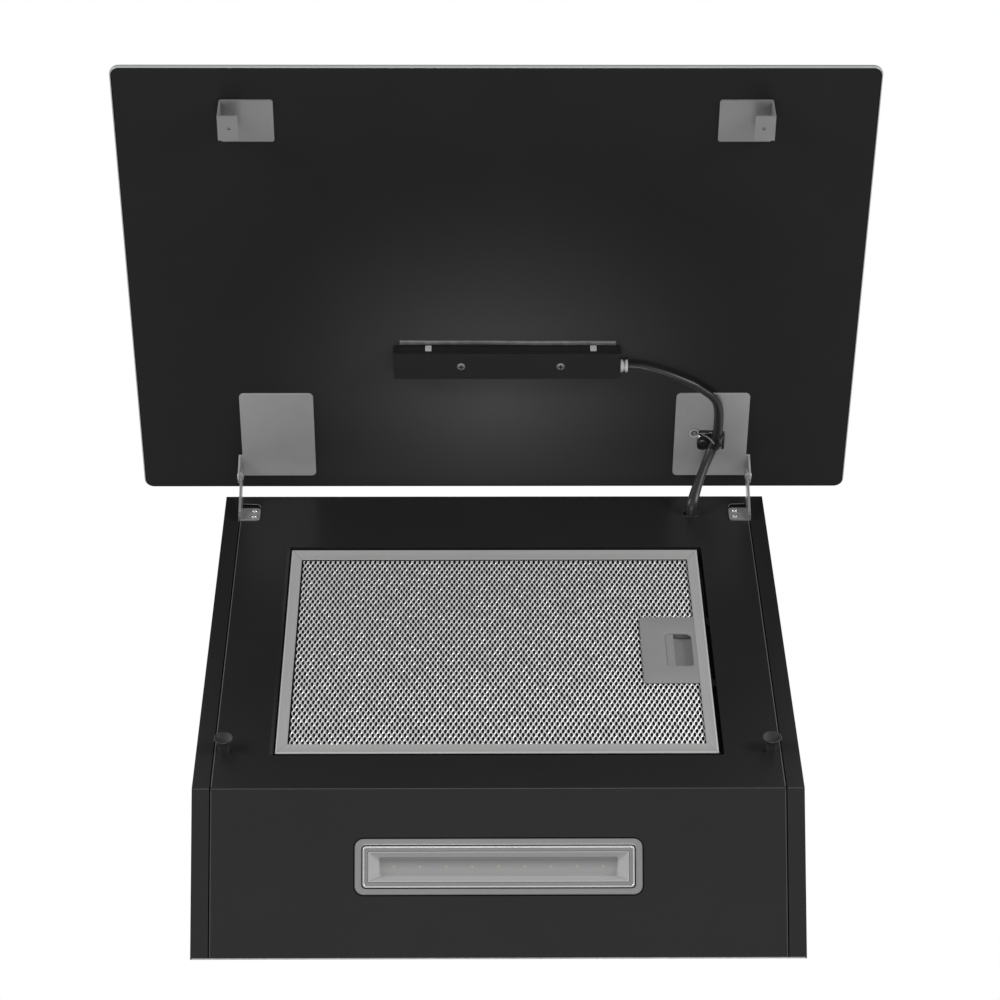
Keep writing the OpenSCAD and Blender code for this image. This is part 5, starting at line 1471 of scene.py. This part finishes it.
@dataclass
class Studio:
    """White surroundings, pale floor, soft lamps and the camera."""

    floor_z: float = -2.75
    floor_half: float = 9.0
    ambient: float = 0.40
    eye: Triple = (-0.02163, -0.07796, -2.51967)
    pitch: float = 6.50
    yaw: float = 0.57
    roll: float = 0.06
    lens: float = 111.6
    lamps: tuple[SoftLamp, ...] = (
        SoftLamp("left_key", (-2.2, -1.3, -1.5), (0.0, -0.25, -0.05), 1.0, 45.0),
        SoftLamp("right_key", (2.2, -1.3, -1.5), (0.0, -0.25, -0.05), 1.0, 48.0),
        SoftLamp("back_fill", (0.0, 1.6, -2.2), (0.0, -0.4, -0.05), 1.0, 30.0),
    )

    def build_world(self) -> None:
        """Plain grey light, and white where the camera or a mirror looks."""
        world = bpy.data.worlds.new("surroundings")
        bpy.context.scene.world = world
        world.use_nodes = True
        tree, pure = world.node_tree, (1, 1, 1, 1)
        tree.nodes.clear()
        path = add_node(tree, "ShaderNodeLightPath").outputs
        camera, mirror, through = (path[name] for name in (
            "Is Camera Ray", "Is Glossy Ray", "Is Transmission Ray"))
        both = add_node(tree, "ShaderNodeMath", {0: camera, 1: mirror}, operation="ADD")
        seen = add_node(tree, "ShaderNodeMath", {0: both.outputs[0], 1: through}, operation="ADD",
                        use_clamp=True)
        plain = add_node(tree, "ShaderNodeBackground", {"Color": pure, "Strength": self.ambient})
        white = add_node(tree, "ShaderNodeBackground", {"Color": pure})
        mixed = add_node(tree, "ShaderNodeMixShader",
                         {0: seen.outputs[0], 1: plain.outputs[0], 2: white.outputs[0]})
        add_node(tree, "ShaderNodeOutputWorld", {"Surface": mixed.outputs[0]})

    def build_floor(self) -> None:
        """Pale floor under the camera."""
        s, z = self.floor_half, self.floor_z
        mesh = bpy.data.meshes.new("floor")
        mesh.from_pydata([(-s, -s, z), (s, -s, z), (s, s, z), (-s, s, z)], [], [(0, 1, 2, 3)])
        mesh.materials.append(FLOOR_PALE.material())
        floor = bpy.data.objects.new("floor", mesh)
        bpy.context.scene.collection.objects.link(floor)

    def build_camera(self) -> None:
        """Camera of the photograph's view, from its place and three small turns."""
        data = bpy.data.cameras.new("camera")
        data.lens, data.sensor_width, data.clip_end = self.lens, 36.0, 100.0
        made = bpy.data.objects.new("camera", data)
        p, y, r = (math.radians(a) for a in (self.pitch, self.yaw, self.roll))
        nod = np.array([(1, 0, 0), (0, math.cos(p), -math.sin(p)), (0, math.sin(p), math.cos(p))])
        swing = np.array([(math.cos(y), 0, -math.sin(y)), (0, 1, 0), (math.sin(y), 0, math.cos(y))])
        spin = np.array([(math.cos(r), -math.sin(r), 0), (math.sin(r), math.cos(r), 0), (0, 0, 1)])
        rows = spin @ swing @ nod @ np.array([(1, 0, 0), (0, -1, 0), (0, 0, 1)])
        turn = Matrix(np.column_stack([rows[0], rows[1], -rows[2]]).tolist())
        made.matrix_world = Matrix.Translation(self.eye) @ turn.to_4x4()
        bpy.context.scene.collection.objects.link(made)
        bpy.context.scene.camera = made

    def build(self) -> None:
        """Builds the surroundings, lamps and camera."""
        bpy.context.scene.view_settings.view_transform = "Standard"
        self.build_world()
        self.build_floor()
        for lamp in self.lamps:
            lamp.build()
        self.build_camera()


def main() -> None:
    """Builds every sub-assembly in order."""
    logging.basicConfig(level=logging.INFO, format="%(name)s: %(message)s")
    Studio().build()
    LOG.info("studio ready")
    LOG.info("dressed %d packed nodes", InnerParts().dress())
    for assembly in (BodyShell(), GreaseFilter(), LampUnit(), GlassPanel(), HingesAndCatches(),
                     TouchControl(), Outlet()):
        known = set(bpy.data.objects.keys())
        assembly.build()
        for name in sorted(set(bpy.data.objects.keys()) - known):
            LOG.info("%s: built %s", type(assembly).__name__, name)


if __name__ == "__main__":
    main()
